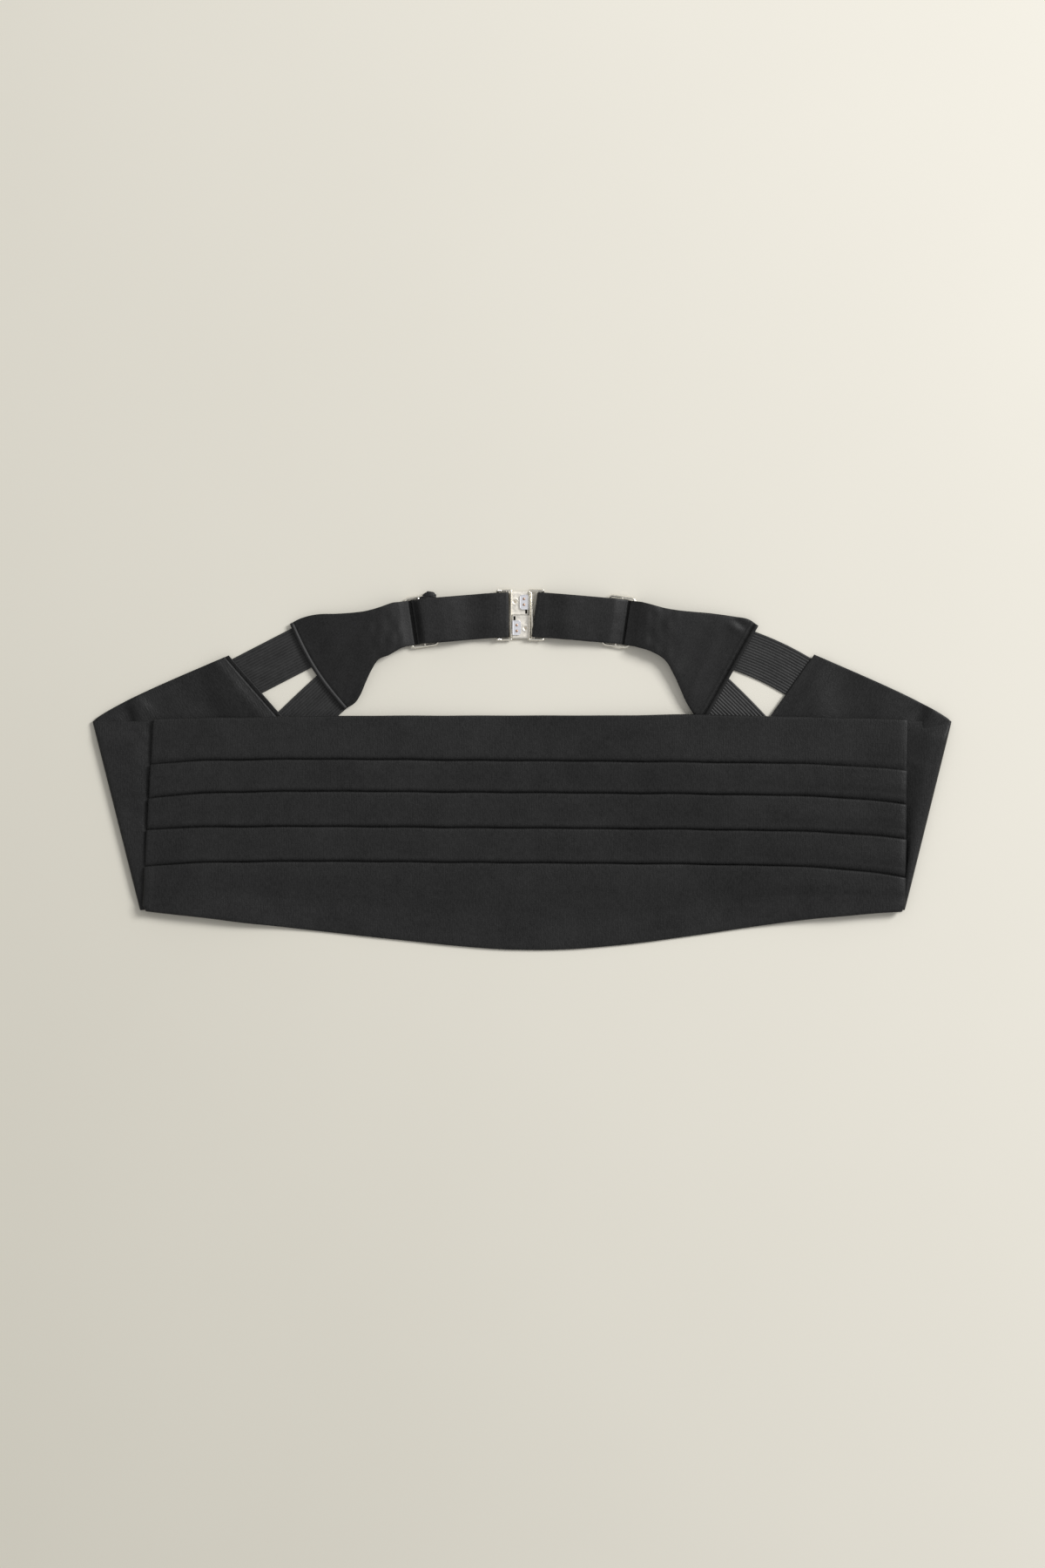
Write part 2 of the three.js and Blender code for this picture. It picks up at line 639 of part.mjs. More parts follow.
function claspHalf() {
  const rim = -rimPitch / 2;
  const plateFloor = barFloor;
  const plateTop = plateFloor + claspGauge;
  const top = claspHeight / 2;
  const far = rim - loopReach;
  const innerLoop = strapWidth / 2 + gap;
  const reach = rimPitch / 2 - rimWidth / 2 - gap;
  const split = gap / 2;
  let body = solidOf(block(rim, reach, split, top - plateInset, plateFloor, plateTop));
  const add = (geometry) => {
    body = body.add(solidOf(geometry));
  };
  add(block(rim - rimWidth / 2, rim + rimWidth / 2, -top, top, plateFloor, plateFloor + rimRise));
  for (const sign of [-1, 1]) {
    const middle = sign * (innerLoop + loopWidth / 2);
    const low = middle - loopWidth / 2;
    const high = middle + loopWidth / 2;
    add(block(far, rim, low, high, plateFloor, plateFloor + barThickness));
    add(block(far, far + loopWidth, low, high, plateFloor, plateFloor + rimRise));
  }
  add(block(far, far + loopWidth, -innerLoop, innerLoop, plateFloor, plateFloor + barThickness));
  const dimple = new THREE.CylinderGeometry(dimpleRadius, dimpleRadius * 0.55, claspGauge * 2, 14);
  dimple.rotateX(Math.PI / 2);
  dimple.translate(rim + dimpleInset, dimpleLift, plateTop);
  body = body.subtract(solidOf(dimple));
  const slotRight = reach - tabSlotInset;
  const slotFoot = split + tabSlotInset;
  const slotTop = slotFoot + tabSlotLength;
  const slotLeft = slotRight - tabSlotWidth;
  const slot = block(slotLeft, slotRight, slotFoot, slotTop, plateFloor - 1, plateTop + 1);
  body = body.subtract(solidOf(slot));
  return geometryOf(body);
}

// Catch plate with its two rivets, lying on the plate next to the other half's rim

function claspCatch() {
  const floor = barFloor + claspGauge + gap / 2;
  const right = rimPitch / 2 - rimWidth / 2 - gap;
  const left = right - catchWidth;
  const low = catchLift;
  const high = catchLift + catchLength;
  const outline = [
    plan(left + catchCorner, low), plan(right, low), plan(right, high),
    plan(left + catchCorner, high), plan(left, high - catchCorner), plan(left, low + catchCorner),
  ];
  let body = prism(outline, floor, floor + catchGauge);
  for (const share of [0.33, 0.72]) {
    const rivet = new THREE.CylinderGeometry(rivetRadius * 0.7, rivetRadius, rivetRise * 2, 12);
    rivet.rotateX(Math.PI / 2);
    rivet.translate((left + right) / 2, mix(low, high, share), floor + catchGauge);
    body = body.add(solidOf(rivet));
  }
  return geometryOf(body);
}

// Materials
const satin = new THREE.MeshStandardMaterial({ color: 0x2b2b2c, roughness: 0.62, metalness: 0 });
const elasticWeave = new THREE.MeshStandardMaterial({ color: 0x303031, roughness: 0.75, metalness: 0 });
const silver = new THREE.MeshStandardMaterial({ color: 0xd9d4c8, roughness: 0.22, metalness: 1 });

// Assembly
const cummerbund = new THREE.Group();
const placed = new THREE.Group();
cummerbund.add(placed);

function addPiece(name, geometry, material, parent = placed) {
  const mesh = new THREE.Mesh(geometry, material);
  mesh.name = name;
  parent.add(mesh);
}

addPiece('front_panel', frontPanel(), satin);
for (const name of Object.keys(layout)) {
  addPiece(`wing_${name}`, wing(name), satin);
  addPiece(`yoke_${name}`, yoke(name), satin);
  addPiece(`strap_${name}`, strap(name), satin);
  addPiece(`slider_${name}`, slider(name), silver);
  const half = new THREE.Group();
  half.position.set(layout[name].clasp.x, layout[name].clasp.y, 0);
  half.rotation.z = name === 'left' ? 0 : Math.PI;
  placed.add(half);
  addPiece(`clasp_half_${name}`, claspHalf(), silver, half);
  addPiece(`clasp_catch_${name}`, claspCatch(), silver, half);
}
for (const row of elasticTable) {
  addPiece(row.name, elastic(row), elasticWeave);
}
addPiece('strap_tail_left', strapTail(), satin);

// The origin is the middle of the whole outline, on the surface that the cloth lies on
cummerbund.updateMatrixWorld(true);
const bounds = new THREE.Box3().setFromObject(cummerbund, true);
const centre = bounds.getCenter(new THREE.Vector3());
placed.position.set(-centre.x, -centre.y, -bounds.min.z);

export default cummerbund;
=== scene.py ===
# %% [markdown]
# # A black pleated cummerbund, lying flat
#
# A cummerbund is a broad pleated sash worn round the waist with evening dress. Its front is one
# cloth folded into shingled pleats. Two wings run on from its ends and turn back behind it, elastics
# give it stretch, and shaped yokes lead to straps that meet in a metal clasp.
#
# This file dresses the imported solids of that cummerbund. Every soft piece is worked out as a bent
# sheet of cloth on a grid, and every metal piece as a stamped sheet or a bent wire.

import bpy
import numpy as np
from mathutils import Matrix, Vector


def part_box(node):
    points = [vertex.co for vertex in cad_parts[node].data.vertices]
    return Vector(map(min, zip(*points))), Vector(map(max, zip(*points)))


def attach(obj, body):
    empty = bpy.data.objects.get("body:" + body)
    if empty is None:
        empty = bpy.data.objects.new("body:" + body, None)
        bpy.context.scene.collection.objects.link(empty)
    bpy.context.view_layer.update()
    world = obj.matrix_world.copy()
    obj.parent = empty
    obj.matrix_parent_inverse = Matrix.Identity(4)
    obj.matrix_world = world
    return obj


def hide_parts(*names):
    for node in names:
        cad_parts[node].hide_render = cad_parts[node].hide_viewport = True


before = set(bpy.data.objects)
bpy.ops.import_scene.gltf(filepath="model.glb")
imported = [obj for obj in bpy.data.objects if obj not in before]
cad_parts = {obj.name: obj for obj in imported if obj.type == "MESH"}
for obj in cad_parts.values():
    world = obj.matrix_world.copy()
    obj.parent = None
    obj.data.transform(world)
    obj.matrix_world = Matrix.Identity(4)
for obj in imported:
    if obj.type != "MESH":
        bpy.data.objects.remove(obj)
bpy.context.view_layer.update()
print("packed nodes:", len(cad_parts))

# %% [markdown]
# ## Small helpers
#
# Lengths are written in millimetres, as a tailor would, and turned into metres when a mesh is made.
# A cloth is a grid of points in the middle of its thickness. Its body is that grid moved half a
# thickness to either side, closed by walls along every edge.

# %% Lengths, blends and spacings
MM = 0.001


def mix(a, b, share):
    """The value that lies at a share of the way from a to b."""
    return a + (b - a) * share


def smooth(value, start, end):
    """0 before start, 1 after end, and 3t² - 2t³ between them."""
    t = np.clip((np.asarray(value, float) - start) / (end - start), 0, 1)
    return t * t * (3 - 2 * t)


def edge_spacing(count, length, margin=1.2):
    """Shares from 0 to 1, evenly spaced but for three close ones at each end, within the margin in mm."""
    near = np.array([0, 0.12, 0.4, 1]) * margin / length
    middle = np.linspace(near[-1], 1 - near[-1], count)[1:-1]
    return np.concatenate([near, middle, 1 - near[::-1]])


def ridge(x, y, row):
    """A soft rise: row's height times exp(-(a/long)² - (b/wide)²), with a and b along and across it. A row
    with a far size is a step instead: it climbs by its height across wide, and sinks back within far."""
    turn = np.radians(row["turn"])
    dx = x - row["x"]
    dy = y - row["y"]
    along = dx * np.cos(turn) + dy * np.sin(turn)
    across = dy * np.cos(turn) - dx * np.sin(turn)
    if "far" in row:
        step = np.tanh(across / row["wide"]) * np.exp(-((across / row["far"]) ** 2)) / 2
        return row["rise"] * step * np.exp(-((along / row["long"]) ** 2))
    return row["rise"] * np.exp(-((along / row["long"]) ** 2) - (across / row["wide"]) ** 2)


def waves(x, y, seed, length, height):
    """Slow unevenness of cloth: six sine waves of about one length, in directions drawn from the seed."""
    draw = np.random.default_rng(seed)
    total = np.zeros(np.broadcast(x, y).shape)
    for _ in range(6):
        turn = draw.uniform(0, np.pi)
        reach = length * draw.uniform(0.7, 1.5)
        phase = draw.uniform(0, 2 * np.pi)
        total += np.sin(2 * np.pi * (x * np.cos(turn) + y * np.sin(turn)) / reach + phase)
    return height * total / 6


# %% From a grid of points to a closed body
def grid_normals(grid):
    """Unit normals of a grid of points: the cross product of its two directions of running."""
    normals = np.cross(np.gradient(grid, axis=0), np.gradient(grid, axis=1))
    return normals / np.maximum(np.linalg.norm(normals, axis=2, keepdims=True), 1e-9)


def sheet_mesh(name, grid, thickness, kept=None, pattern=None, smooth_faces=True):
    """Closed body round a grid of middle points, in mm. Each point is moved half the thickness along the
    normal and against it, and a wall closes every kept cell that has no kept neighbour on one side.
    pattern gives two lengths in mm for each point, kept as the piece's own UV map."""
    rows, columns = grid.shape[:2]
    half = np.broadcast_to(np.asarray(thickness, float), (rows, columns))[..., None] / 2
    normals = grid_normals(grid)
    points = np.concatenate([(grid + normals * half).reshape(-1, 3), (grid - normals * half).reshape(-1, 3)])
    cells = np.ones((rows - 1, columns - 1), bool) if kept is None else kept
    number = np.arange(rows * columns).reshape(rows, columns)
    a = number[:-1, :-1]
    b = number[1:, :-1]
    c = number[1:, 1:]
    d = number[:-1, 1:]
    under = rows * columns
    faces = [np.stack([a, b, c, d], -1)[cells], np.stack([a, d, c, b], -1)[cells] + under]
    framed = np.pad(cells, 1)
    sides = [
        (framed[:-2, 1:-1], d, a),
        (framed[2:, 1:-1], b, c),
        (framed[1:-1, :-2], a, b),
        (framed[1:-1, 2:], c, d),
    ]
    for neighbour, first, second in sides:
        open_side = cells & ~neighbour
        wall = np.stack([second, first, first + under, second + under], -1)[open_side]
        faces.append(wall)
    quads = np.concatenate(faces)
    used, quads = np.unique(quads, return_inverse=True)
    quads = quads.reshape(-1, 4)
    mesh = bpy.data.meshes.new(name)
    mesh.from_pydata((points[used] * MM).tolist(), [], quads.tolist())
    if pattern is not None:
        both = np.concatenate([pattern.reshape(-1, 2), pattern.reshape(-1, 2)])[used]
        mesh.uv_layers.new(name="weave").data.foreach_set("uv", both[quads.ravel()].ravel() * MM)
    mesh.polygons.foreach_set("use_smooth", [smooth_faces] * len(mesh.polygons))
    mesh.update()
    piece = bpy.data.objects.new(name, mesh)
    bpy.context.scene.collection.objects.link(piece)
    return turned_out(piece)


def turned_out(piece):
    """Turns all faces over if the volume that they close comes out negative."""
    mesh = piece.data
    mesh.calc_loop_triangles()
    corners = np.empty(len(mesh.loop_triangles) * 3, int)
    mesh.loop_triangles.foreach_get("vertices", corners)
    points = np.empty(len(mesh.vertices) * 3)
    mesh.vertices.foreach_get("co", points)
    a, b, c = points.reshape(-1, 3)[corners.reshape(-1, 3)].transpose(1, 0, 2)
    if np.einsum("ij,ij->", a, np.cross(b, c)) < 0:
        mesh.flip_normals()
    return piece


def rounded_edges(thickness, rows_in, columns_in, radius=0.5):
    """Thickness that falls off to a third at the cloth's edges, on a quarter circle of the radius in mm.
    rows_in and columns_in give each row's and column's distance from the nearest edge."""
    depth = np.minimum(rows_in[:, None], columns_in[None, :]) / radius
    return thickness * np.maximum(0.34, np.sqrt(1 - (1 - np.clip(depth, 0, 1)) ** 2))


def from_edges(shares, length):
    """Distance in mm of each share from the nearer of the two ends."""
    return np.minimum(shares, 1 - shares) * length


# %% [markdown]
# ## The pattern that it was cut to
#
# The same few lengths that the solids follow place everything here. The frame gives the clasp's
# centre, and the rest is measured from it: the level line runs through the upper corners of the front.

# %% Lengths of the front, wings, yokes and straps, in mm
PANEL_LENGTH = 419.3
PANEL_HEIGHT = 130.5
PANEL_END_HEIGHT = 106.2
PANEL_CROWN = 2.9
PLEAT_DEPTH = 6.5
EDGE_TURN = 11
FOLD_TILT = 3.2
MIDDLE_ROUND = 0.12
LIFT_RAMP = 75
LIFT_MARGIN = 13
WING_TUCK = 19
HEM_LENGTH = 72
ELASTIC_WIDTH = 24.5
RIB_COUNT = 16
TUCK = 5
YOKE_LENGTH = 70
YOKE_DROP = 49
STRAP_WIDTH = 25
STRAP_SPAN = 54.9
STRAP_DROP = 3.6
BAR_PITCH = 7.4
BAR_WIDTH = 1.3
SLIDER_TILT = 8.5
CLASP_LIFT = 58.4
CLASP_SHIFT = -5.6
CLASP_HEIGHT = 27
RIM_PITCH = 10.3
LOOP_REACH = 8.3

# Thicknesses and heights of the layers
GAP = 0.3
ON_FLOOR = 0.55
WING_FRONT = 2.05
ON_ELASTIC = 1.4
BAR_FLOOR = 1.4
BAR_THICK = 1.2
OVER_BAR = 3.45


def middle_of(*nodes):
    """Middle in plan of the box round some nodes, in mm."""
    corners = np.array([[list(corner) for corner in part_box(node)] for node in nodes]) / MM
    return (corners[:, 0].min(axis=0) + corners[:, 1].max(axis=0))[:2] / 2


clasp = middle_of("clasp_half_left", "clasp_half_right")
level = clasp - np.array([CLASP_SHIFT, CLASP_LIFT])
print("clasp at", clasp.round(2), "and level line at", level.round(2))

# %% The two sides, with lengths as shares of the sizes that they follow
SIDES = {
    "left": {
        "sign": -1, "splay": 0.058, "fold_reach": 0.318, "fold_foot": 0.01,
        "hem_in": 0.58, "hem_up": 0.499, "hem_angle": 48.8, "back_bow": 2.3,
    },
    "right": {
        "sign": 1, "splay": -0.011, "fold_reach": 0.231, "fold_foot": -0.004,
        "hem_in": 0.717, "hem_up": 0.506, "hem_angle": 54.5, "back_bow": 2.1,
    },
}

# Yoke outlines: top_out, top_up, foot_out, foot_up from the elastics to the neck
YOKES = {
    "left": [
        [0.944, -0.007, 0.514, -0.977], [0.847, 0.062, 0.431, -0.908], [0.722, 0.102, 0.382, -0.809],
        [0.576, 0.108, 0.341, -0.67], [0.445, 0.12, 0.292, -0.522], [0.341, 0.139, 0.237, -0.408],
        [0.237, 0.179, 0.154, -0.358], [0.133, 0.231, 0.071, -0.289],
    ],
    "right": [
        [1.004, -0.027, 0.595, -1.076], [0.921, 0.048, 0.533, -1.086], [0.81, 0.077, 0.484, -1.017],
        [0.63, 0.112, 0.429, -0.888], [0.491, 0.129, 0.38, -0.73], [0.37, 0.146, 0.332, -0.581],
        [0.256, 0.173, 0.263, -0.418], [0.145, 0.216, 0.152, -0.319],
    ],
}

# Where the elastics' middle lines end: shares of the hem's length and of the yoke's edge
ELASTICS = {
    "elastic_upper_left": ("left", 0.213, 0.264),
    "elastic_lower_left": ("left", 0.753, 0.79),
    "elastic_upper_right": ("right", 0.217, 0.279),
    "elastic_lower_right": ("right", 0.783, 0.79),
}


def lay_out(name):
    """Corners and directions of one side in plan, outwards from the middle of the front."""
    side = dict(SIDES[name])
    sign = side["sign"]
    end = PANEL_LENGTH / 2

    def out(x, y):
        return level + np.array([x * sign, y])

    angle = np.radians(side["hem_angle"])
    tilt = np.radians(SLIDER_TILT)
    side["fold_top"] = out(end + side["fold_reach"] * PANEL_END_HEIGHT, -0.6)
    foot = side["splay"] + side["fold_foot"]
    side["fold_foot"] = out(end + foot * PANEL_END_HEIGHT, GAP - PANEL_END_HEIGHT)
    side["inner_top"] = out(end - WING_TUCK, -1)
    side["inner_foot"] = out(end - WING_TUCK, 2.5 - PANEL_END_HEIGHT)
    side["hem_top"] = out(end - side["hem_in"] * HEM_LENGTH, side["hem_up"] * HEM_LENGTH)
    side["hem_along"] = np.array([-sign * np.cos(angle), -np.sin(angle)])
    side["hem_foot"] = side["hem_top"] + side["hem_along"] * HEM_LENGTH
    side["slider"] = out(CLASP_SHIFT * sign + STRAP_SPAN, CLASP_LIFT - STRAP_DROP)
    side["outward"] = np.array([sign * np.cos(tilt), -np.sin(tilt)])
    side["bar_along"] = np.array([sign * np.sin(tilt), np.cos(tilt)])
    side["neck"] = side["slider"] + side["outward"] * BAR_PITCH
    rows = np.array(YOKES[name])
    reach = np.array([YOKE_LENGTH * sign, YOKE_DROP])
    side["yoke_top"] = side["neck"] + rows[:, 0:2] * reach
    side["yoke_foot"] = side["neck"] + rows[:, 2:4] * reach
    return side


layout = {name: lay_out(name) for name in SIDES}
for name, side in layout.items():
    print(name, "hem from", side["hem_top"].round(1), "slider at", side["slider"].round(1))

# %% [markdown]
# ## The pleated front
#
# The front is one cloth. From its top edge it runs down under the first pleat, turns back up inside
# it, turns over at the fold and comes down again as the next band, so each band overlaps the one
# above like a shingle laid upside down. It could be five flat strips, but then nothing would go in
# under the folds. Here the whole path of the cloth is worked out, and the thin dark lines above the
# folds are real gaps.

# %% Fold lines of the front
PLEATS = [
    {"left": 0.237, "middle": 0.178, "right": 0.265, "dips": (1.6, 1.85, 0.7)},
    {"left": 0.415, "middle": 0.314, "right": 0.443, "dips": (2.6, 2.0, 2.0)},
    {"left": 0.58, "middle": 0.465, "right": 0.626, "dips": (2.6, 2.0, 1.8)},
    {"left": 0.772, "middle": 0.613, "right": 0.827, "dips": (2.2, 2.0, 2.0)},
]
DIP_PLACES = (0, 0.12, 0.8, 1)
END_STEP = 0.25
CORNER_CUT = 1.7
FRONT_LOW = 0.45
FRONT_MIDDLE = FRONT_LOW + 1.5
FRONT_HIGH = FRONT_LOW + 2.75
FRONT_HEM = FRONT_LOW + 0.85
FRONT_LIFT = 2.75
CROWN = 2.1
CROWN_BUMP = 0.8
LOWER_SWAY = 1.3


def top_line(share):
    """Top edge: a crown that falls off with the cube of the distance from the middle, and a slight bump."""
    return CROWN * (1 - np.abs(2 * share - 1) ** 3) + CROWN_BUMP * np.exp(-(((share - 0.72) / 0.07) ** 2))


def lower_line(share):
    """Lower edge: two straight slopes that meet in a rounded middle, by a square root of squares. The right
    one sways a little, as one wave of a sine."""
    bend = np.hypot(2 * share - 1, MIDDLE_ROUND) - MIDDLE_ROUND
    slope = bend / (np.hypot(1, MIDDLE_ROUND) - MIDDLE_ROUND)
    sway = LOWER_SWAY * np.sin(2 * np.pi * np.clip(2 * share - 1, 0, 1))
    return mix(PANEL_CROWN - PANEL_HEIGHT, -PANEL_END_HEIGHT, slope) - sway


def fold_line(pleat, share):
    """A fold is nearly level and droops at its ends with the sixth power of the distance."""
    end = np.where(share < 0.5, pleat["left"], pleat["right"])
    level_run = -pleat["middle"] * PANEL_HEIGHT - FOLD_TILT * (share - 0.5)
    return mix(level_run, -end * PANEL_END_HEIGHT, np.abs(2 * share - 1) ** 6)


def lift_at(x, y):
    """Height by which the wings, elastics and yokes below lift the front: the greater of the two sides."""
    lifts = []
    for side in layout.values():
        edge = side["fold_foot"] - side["hem_foot"]
        edge = edge / np.hypot(*edge)
        over_back = (edge[0] * (y - side["hem_foot"][1]) - edge[1] * (x - side["hem_foot"][0])) * side["sign"]
        over_front = (x - side["inner_top"][0]) * side["sign"]
        lifts.append(FRONT_LIFT * smooth(np.maximum(over_back, over_front), -LIFT_RAMP, -LIFT_MARGIN))
    return np.maximum(*lifts)


# %% Path of the cloth through the pleats
def half_turn(along, low, high, sign, steps=8, reach=None):
    """Half a circle from its low end to its high end, standing out towards sign. A reach makes it half an
    ellipse that stands out that far."""
    angle = np.linspace(-np.pi / 2, np.pi / 2, steps + 1)[:, None]
    radius = (high - low) / 2
    out = radius if reach is None else reach
    return along + sign * out * np.cos(angle), low + radius * (1 + np.sin(angle)) + 0 * along


def run(start, end, low, high, count, power=1.0):
    """Points between two places whose height goes from low to high with a share's power."""
    share = np.linspace(0, 1, count + 2)[1:-1, None]
    return mix(start, end, share), mix(low, high, smooth(share ** power, 0, 1)) + 0 * start


def pleated_path(share):
    """Distance along the front's height, height above the surface and step at the ends, row by row,
    from the hidden edge of the top hem through four pleats to the hidden edge of the bottom hem."""
    rows = []

    def add(part, step=0.0, backwards=False):
        along, height = part
        order = slice(None, None, -1 if backwards else 1)
        steps = np.broadcast_to(np.asarray(step, float).reshape(-1, 1), along.shape)
        rows.append(np.stack([along[order], np.broadcast_to(height, along.shape)[order], steps]))

    # The pleats stand more open near the right end, and a little near the left one
    open_end = 1.3 + 2.2 * smooth(share, 0.72, 1) + 1.2 * (1 - smooth(share, 0, 0.12))
    turn = (FRONT_MIDDLE - FRONT_LOW) / 2
    top = top_line(share)
    add(run(top - EDGE_TURN, top - turn, FRONT_LOW, FRONT_LOW, 4))
    add(half_turn(top - turn, FRONT_LOW, FRONT_MIDDLE, 1))
    start = top - turn
    height = FRONT_MIDDLE
    for pleat in PLEATS:
        lip = fold_line(pleat, share)
        inner = lip - PLEAT_DEPTH
        left, middle, right = pleat["dips"]
        dip = np.interp(share, DIP_PLACES, (left, middle, middle, right))
        width = 2.8 + 2.0 * smooth(share, 0.8, 1) + 1.0 * (1 - smooth(share, 0, 0.1))
        face = run(start, lip + width, height, FRONT_LOW + dip, 16, open_end)
        add(face, END_STEP * np.linspace(1, 0.2, 16))
        slide_in = np.linspace(0, 1, 8)[:, None]
        add((mix(lip + width, lip - 0.3, slide_in), FRONT_LOW + dip * np.cos(np.pi / 2 * slide_in)))
        add(run(lip - 0.3, inner + turn, FRONT_LOW, FRONT_LOW, 3))
        add(half_turn(inner + turn, FRONT_LOW, FRONT_MIDDLE, -1, 5))
        add(run(inner + turn, lip - turn, FRONT_MIDDLE, FRONT_MIDDLE, 3))
        add(half_turn(lip - turn, FRONT_MIDDLE, FRONT_HIGH, 1), END_STEP)
        start = lip - turn
        height = FRONT_HIGH
    bottom = lower_line(share)
    hem = bottom + np.minimum(EDGE_TURN + 3, 0.45 * (start - bottom))
    edge = bottom + 0.5
    hem_height = mix(FRONT_HEM, FRONT_HIGH - 0.5, smooth(np.abs(2 * share - 1), 0.5, 0.95))
    add(run(start, hem, height, hem_height, 18, open_end), END_STEP * np.linspace(1, 0, 18))
    add(run(hem, edge, hem_height, hem_height, 7))
    add(half_turn(edge, FRONT_LOW, hem_height, -1, reach=0.5), backwards=True)
    add(run(edge, np.minimum(hem, bottom + EDGE_TURN), FRONT_LOW, FRONT_LOW, 4))
    return np.concatenate(rows, axis=1)


def front_grid():
    """Middle surface of the front. Its ends are pressed flatter on a quarter of an ellipse, which is wider at
    the right end. The left end is flatter from 30 mm away, and its lowest band ends in a thin turned edge."""
    share = edge_spacing(150, PANEL_LENGTH)
    along, height, step = pleated_path(share)
    ends = from_edges(share, PANEL_LENGTH)[None, :]
    corner = CORNER_CUT * (1 - smooth(along - lower_line(share)[None, :], 0, 3.5))
    left = -PANEL_LENGTH / 2 + layout["left"]["splay"] * along - step + corner
    right = PANEL_LENGTH / 2 - layout["right"]["splay"] * along + step - corner
    x = level[0] + mix(left, right, share[None, :])
    y = level[1] + along
    press = np.where(share < 0.5, 0.3, 0.65)[None, :]
    width = np.where(share < 0.5, 1.0, 2.6)[None, :]
    pressed = 1 - press + press * np.sqrt(1 - (1 - np.clip(ends / width, 0, 1)) ** 2)
    pressed = pressed * mix(0.7, 1, smooth(share, 0, 0.07))[None, :]
    wavy = waves(x, y, 5, 70, 0.5) * smooth(ends, 0, 12)
    fine = waves(x, along * 0.2, 8, 26, 0.16) * smooth(ends, 0, 12)
    z = FRONT_LOW + (height - FRONT_LOW) * pressed + lift_at(x, y)
    raised = smooth(height, FRONT_LOW, FRONT_MIDDLE)
    y = y + waves(x, 0 * y, 11, 45, 0.3) * raised
    lowest = smooth(fold_line(PLEATS[-1], share)[None, :] - along, 0, 4) * raised
    from_left = (share * PANEL_LENGTH)[None, :]
    turned = 0.45 * np.exp(-(((from_left - 1.1) / 0.7) ** 2)) * lowest
    return np.stack([x, y, z + turned + np.maximum(wavy + fine, -0.02) * 0.6], -1), share


def cloth_lengths(grid, across=0):
    """For each point of a grid, its place across the ribs and its distance along the cloth, in mm."""
    steps = np.linalg.norm(np.diff(grid, axis=0), axis=2)
    run_length = np.concatenate([np.zeros((1, grid.shape[1])), np.cumsum(steps, axis=0)])
    return np.stack([grid[..., across], run_length], -1)


grid, share = front_grid()
columns_in = from_edges(share, PANEL_LENGTH)
rows_in = np.full(grid.shape[0], 9.0)
rows_in[[0, -1]] = 0
thickness = rounded_edges(0.8, rows_in, columns_in)
front = sheet_mesh("pleated_front", grid, thickness, pattern=cloth_lengths(grid))

# %% [markdown]
# ## The wings
#
# Each wing is one flat cloth that goes on from the front, turns back along a slanting fold and ends
# in a hem over the elastics. It is a grid again: rows run down the fold, and columns follow the cloth
# from under the front, round the fold and on to the hem. Its few dents are soft bumps added to the
# height. The fold stands a little puffed, which gives it its long light and dark edge.

# %% Dents and creases of the wings: out from the front's end and up from the level line, in mm
BACK_CREASES = {
    "left": [
        {"x": 11.5, "y": 3.5, "turn": 112, "long": 6, "wide": 2.0, "far": 8, "rise": -3.4},
        {"x": 6.0, "y": 8.5, "turn": -42, "long": 9, "wide": 2.4, "rise": 0.4},
        {"x": -36.0, "y": 9.0, "turn": 120, "long": 15, "wide": 5, "far": 27, "rise": -2.8},
        {"x": -17.0, "y": 20.0, "turn": 130, "long": 7, "wide": 3, "far": 10, "rise": -0.7},
        {"x": -8.0, "y": 12.0, "turn": 120, "long": 9, "wide": 5, "far": 12, "rise": -0.4},
    ],
    "right": [
        {"x": 10.5, "y": 4.0, "turn": 70, "long": 11, "wide": 2.2, "far": 10, "rise": -3.2},
        {"x": 2.0, "y": 9.0, "turn": 40, "long": 8, "wide": 2.4, "rise": 0.4},
        {"x": -43.0, "y": 12.0, "turn": 75, "long": 15, "wide": 7, "far": 17, "rise": 2.6},
        {"x": -18.0, "y": 10.0, "turn": 60, "long": 12, "wide": 7, "far": 14, "rise": -0.7},
    ],
}
FRONT_CREASES = {
    "left": [
        {"x": 5.0, "y": -9.0, "turn": -55, "long": 6, "wide": 1.8, "rise": 0.5},
        {"x": 3.0, "y": -13.0, "turn": -60, "long": 5, "wide": 1.6, "rise": -0.35},
        {"x": 3.5, "y": -32.0, "turn": 84, "long": 20, "wide": 2.0, "rise": 0.3},
        {"x": 12.0, "y": -27.0, "turn": -25, "long": 9, "wide": 3.5, "rise": -0.25},
        {"x": 11.0, "y": -52.0, "turn": -30, "long": 9, "wide": 4, "rise": -0.25},
    ],
    "right": [
        {"x": 3.0, "y": -24.0, "turn": -30, "long": 4, "wide": 2.0, "rise": 0.45},
        {"x": 3.5, "y": -27.5, "turn": -25, "long": 5, "wide": 2.0, "rise": -0.35},
    ],
}
FOLD_PUFF = {"left": 1.2, "right": 2.8}
CREST = {"left": 0.55, "right": 0.25}
HEM_STEP = 1.0
HEM_TILT = 0.45
BACK_LOFT = 1.4


def relief(x, y, side, rows):
    """Sum of the soft bumps of a table whose places are given outwards and upwards of the front's corner."""
    total = np.zeros(x.shape)
    for row in rows:
        placed = dict(row)
        placed["x"] = level[0] + side["sign"] * (PANEL_LENGTH / 2 + row["x"])
        placed["y"] = level[1] + row["y"]
        total += ridge(x, y, placed)
    return total


def lift_on_elastic(distance):
    """Height of a wing's cloth over an elastic's end, which falls off behind the tuck."""
    return (ON_ELASTIC - 0.1) * (1 - smooth(distance, TUCK + 2, TUCK + 10))


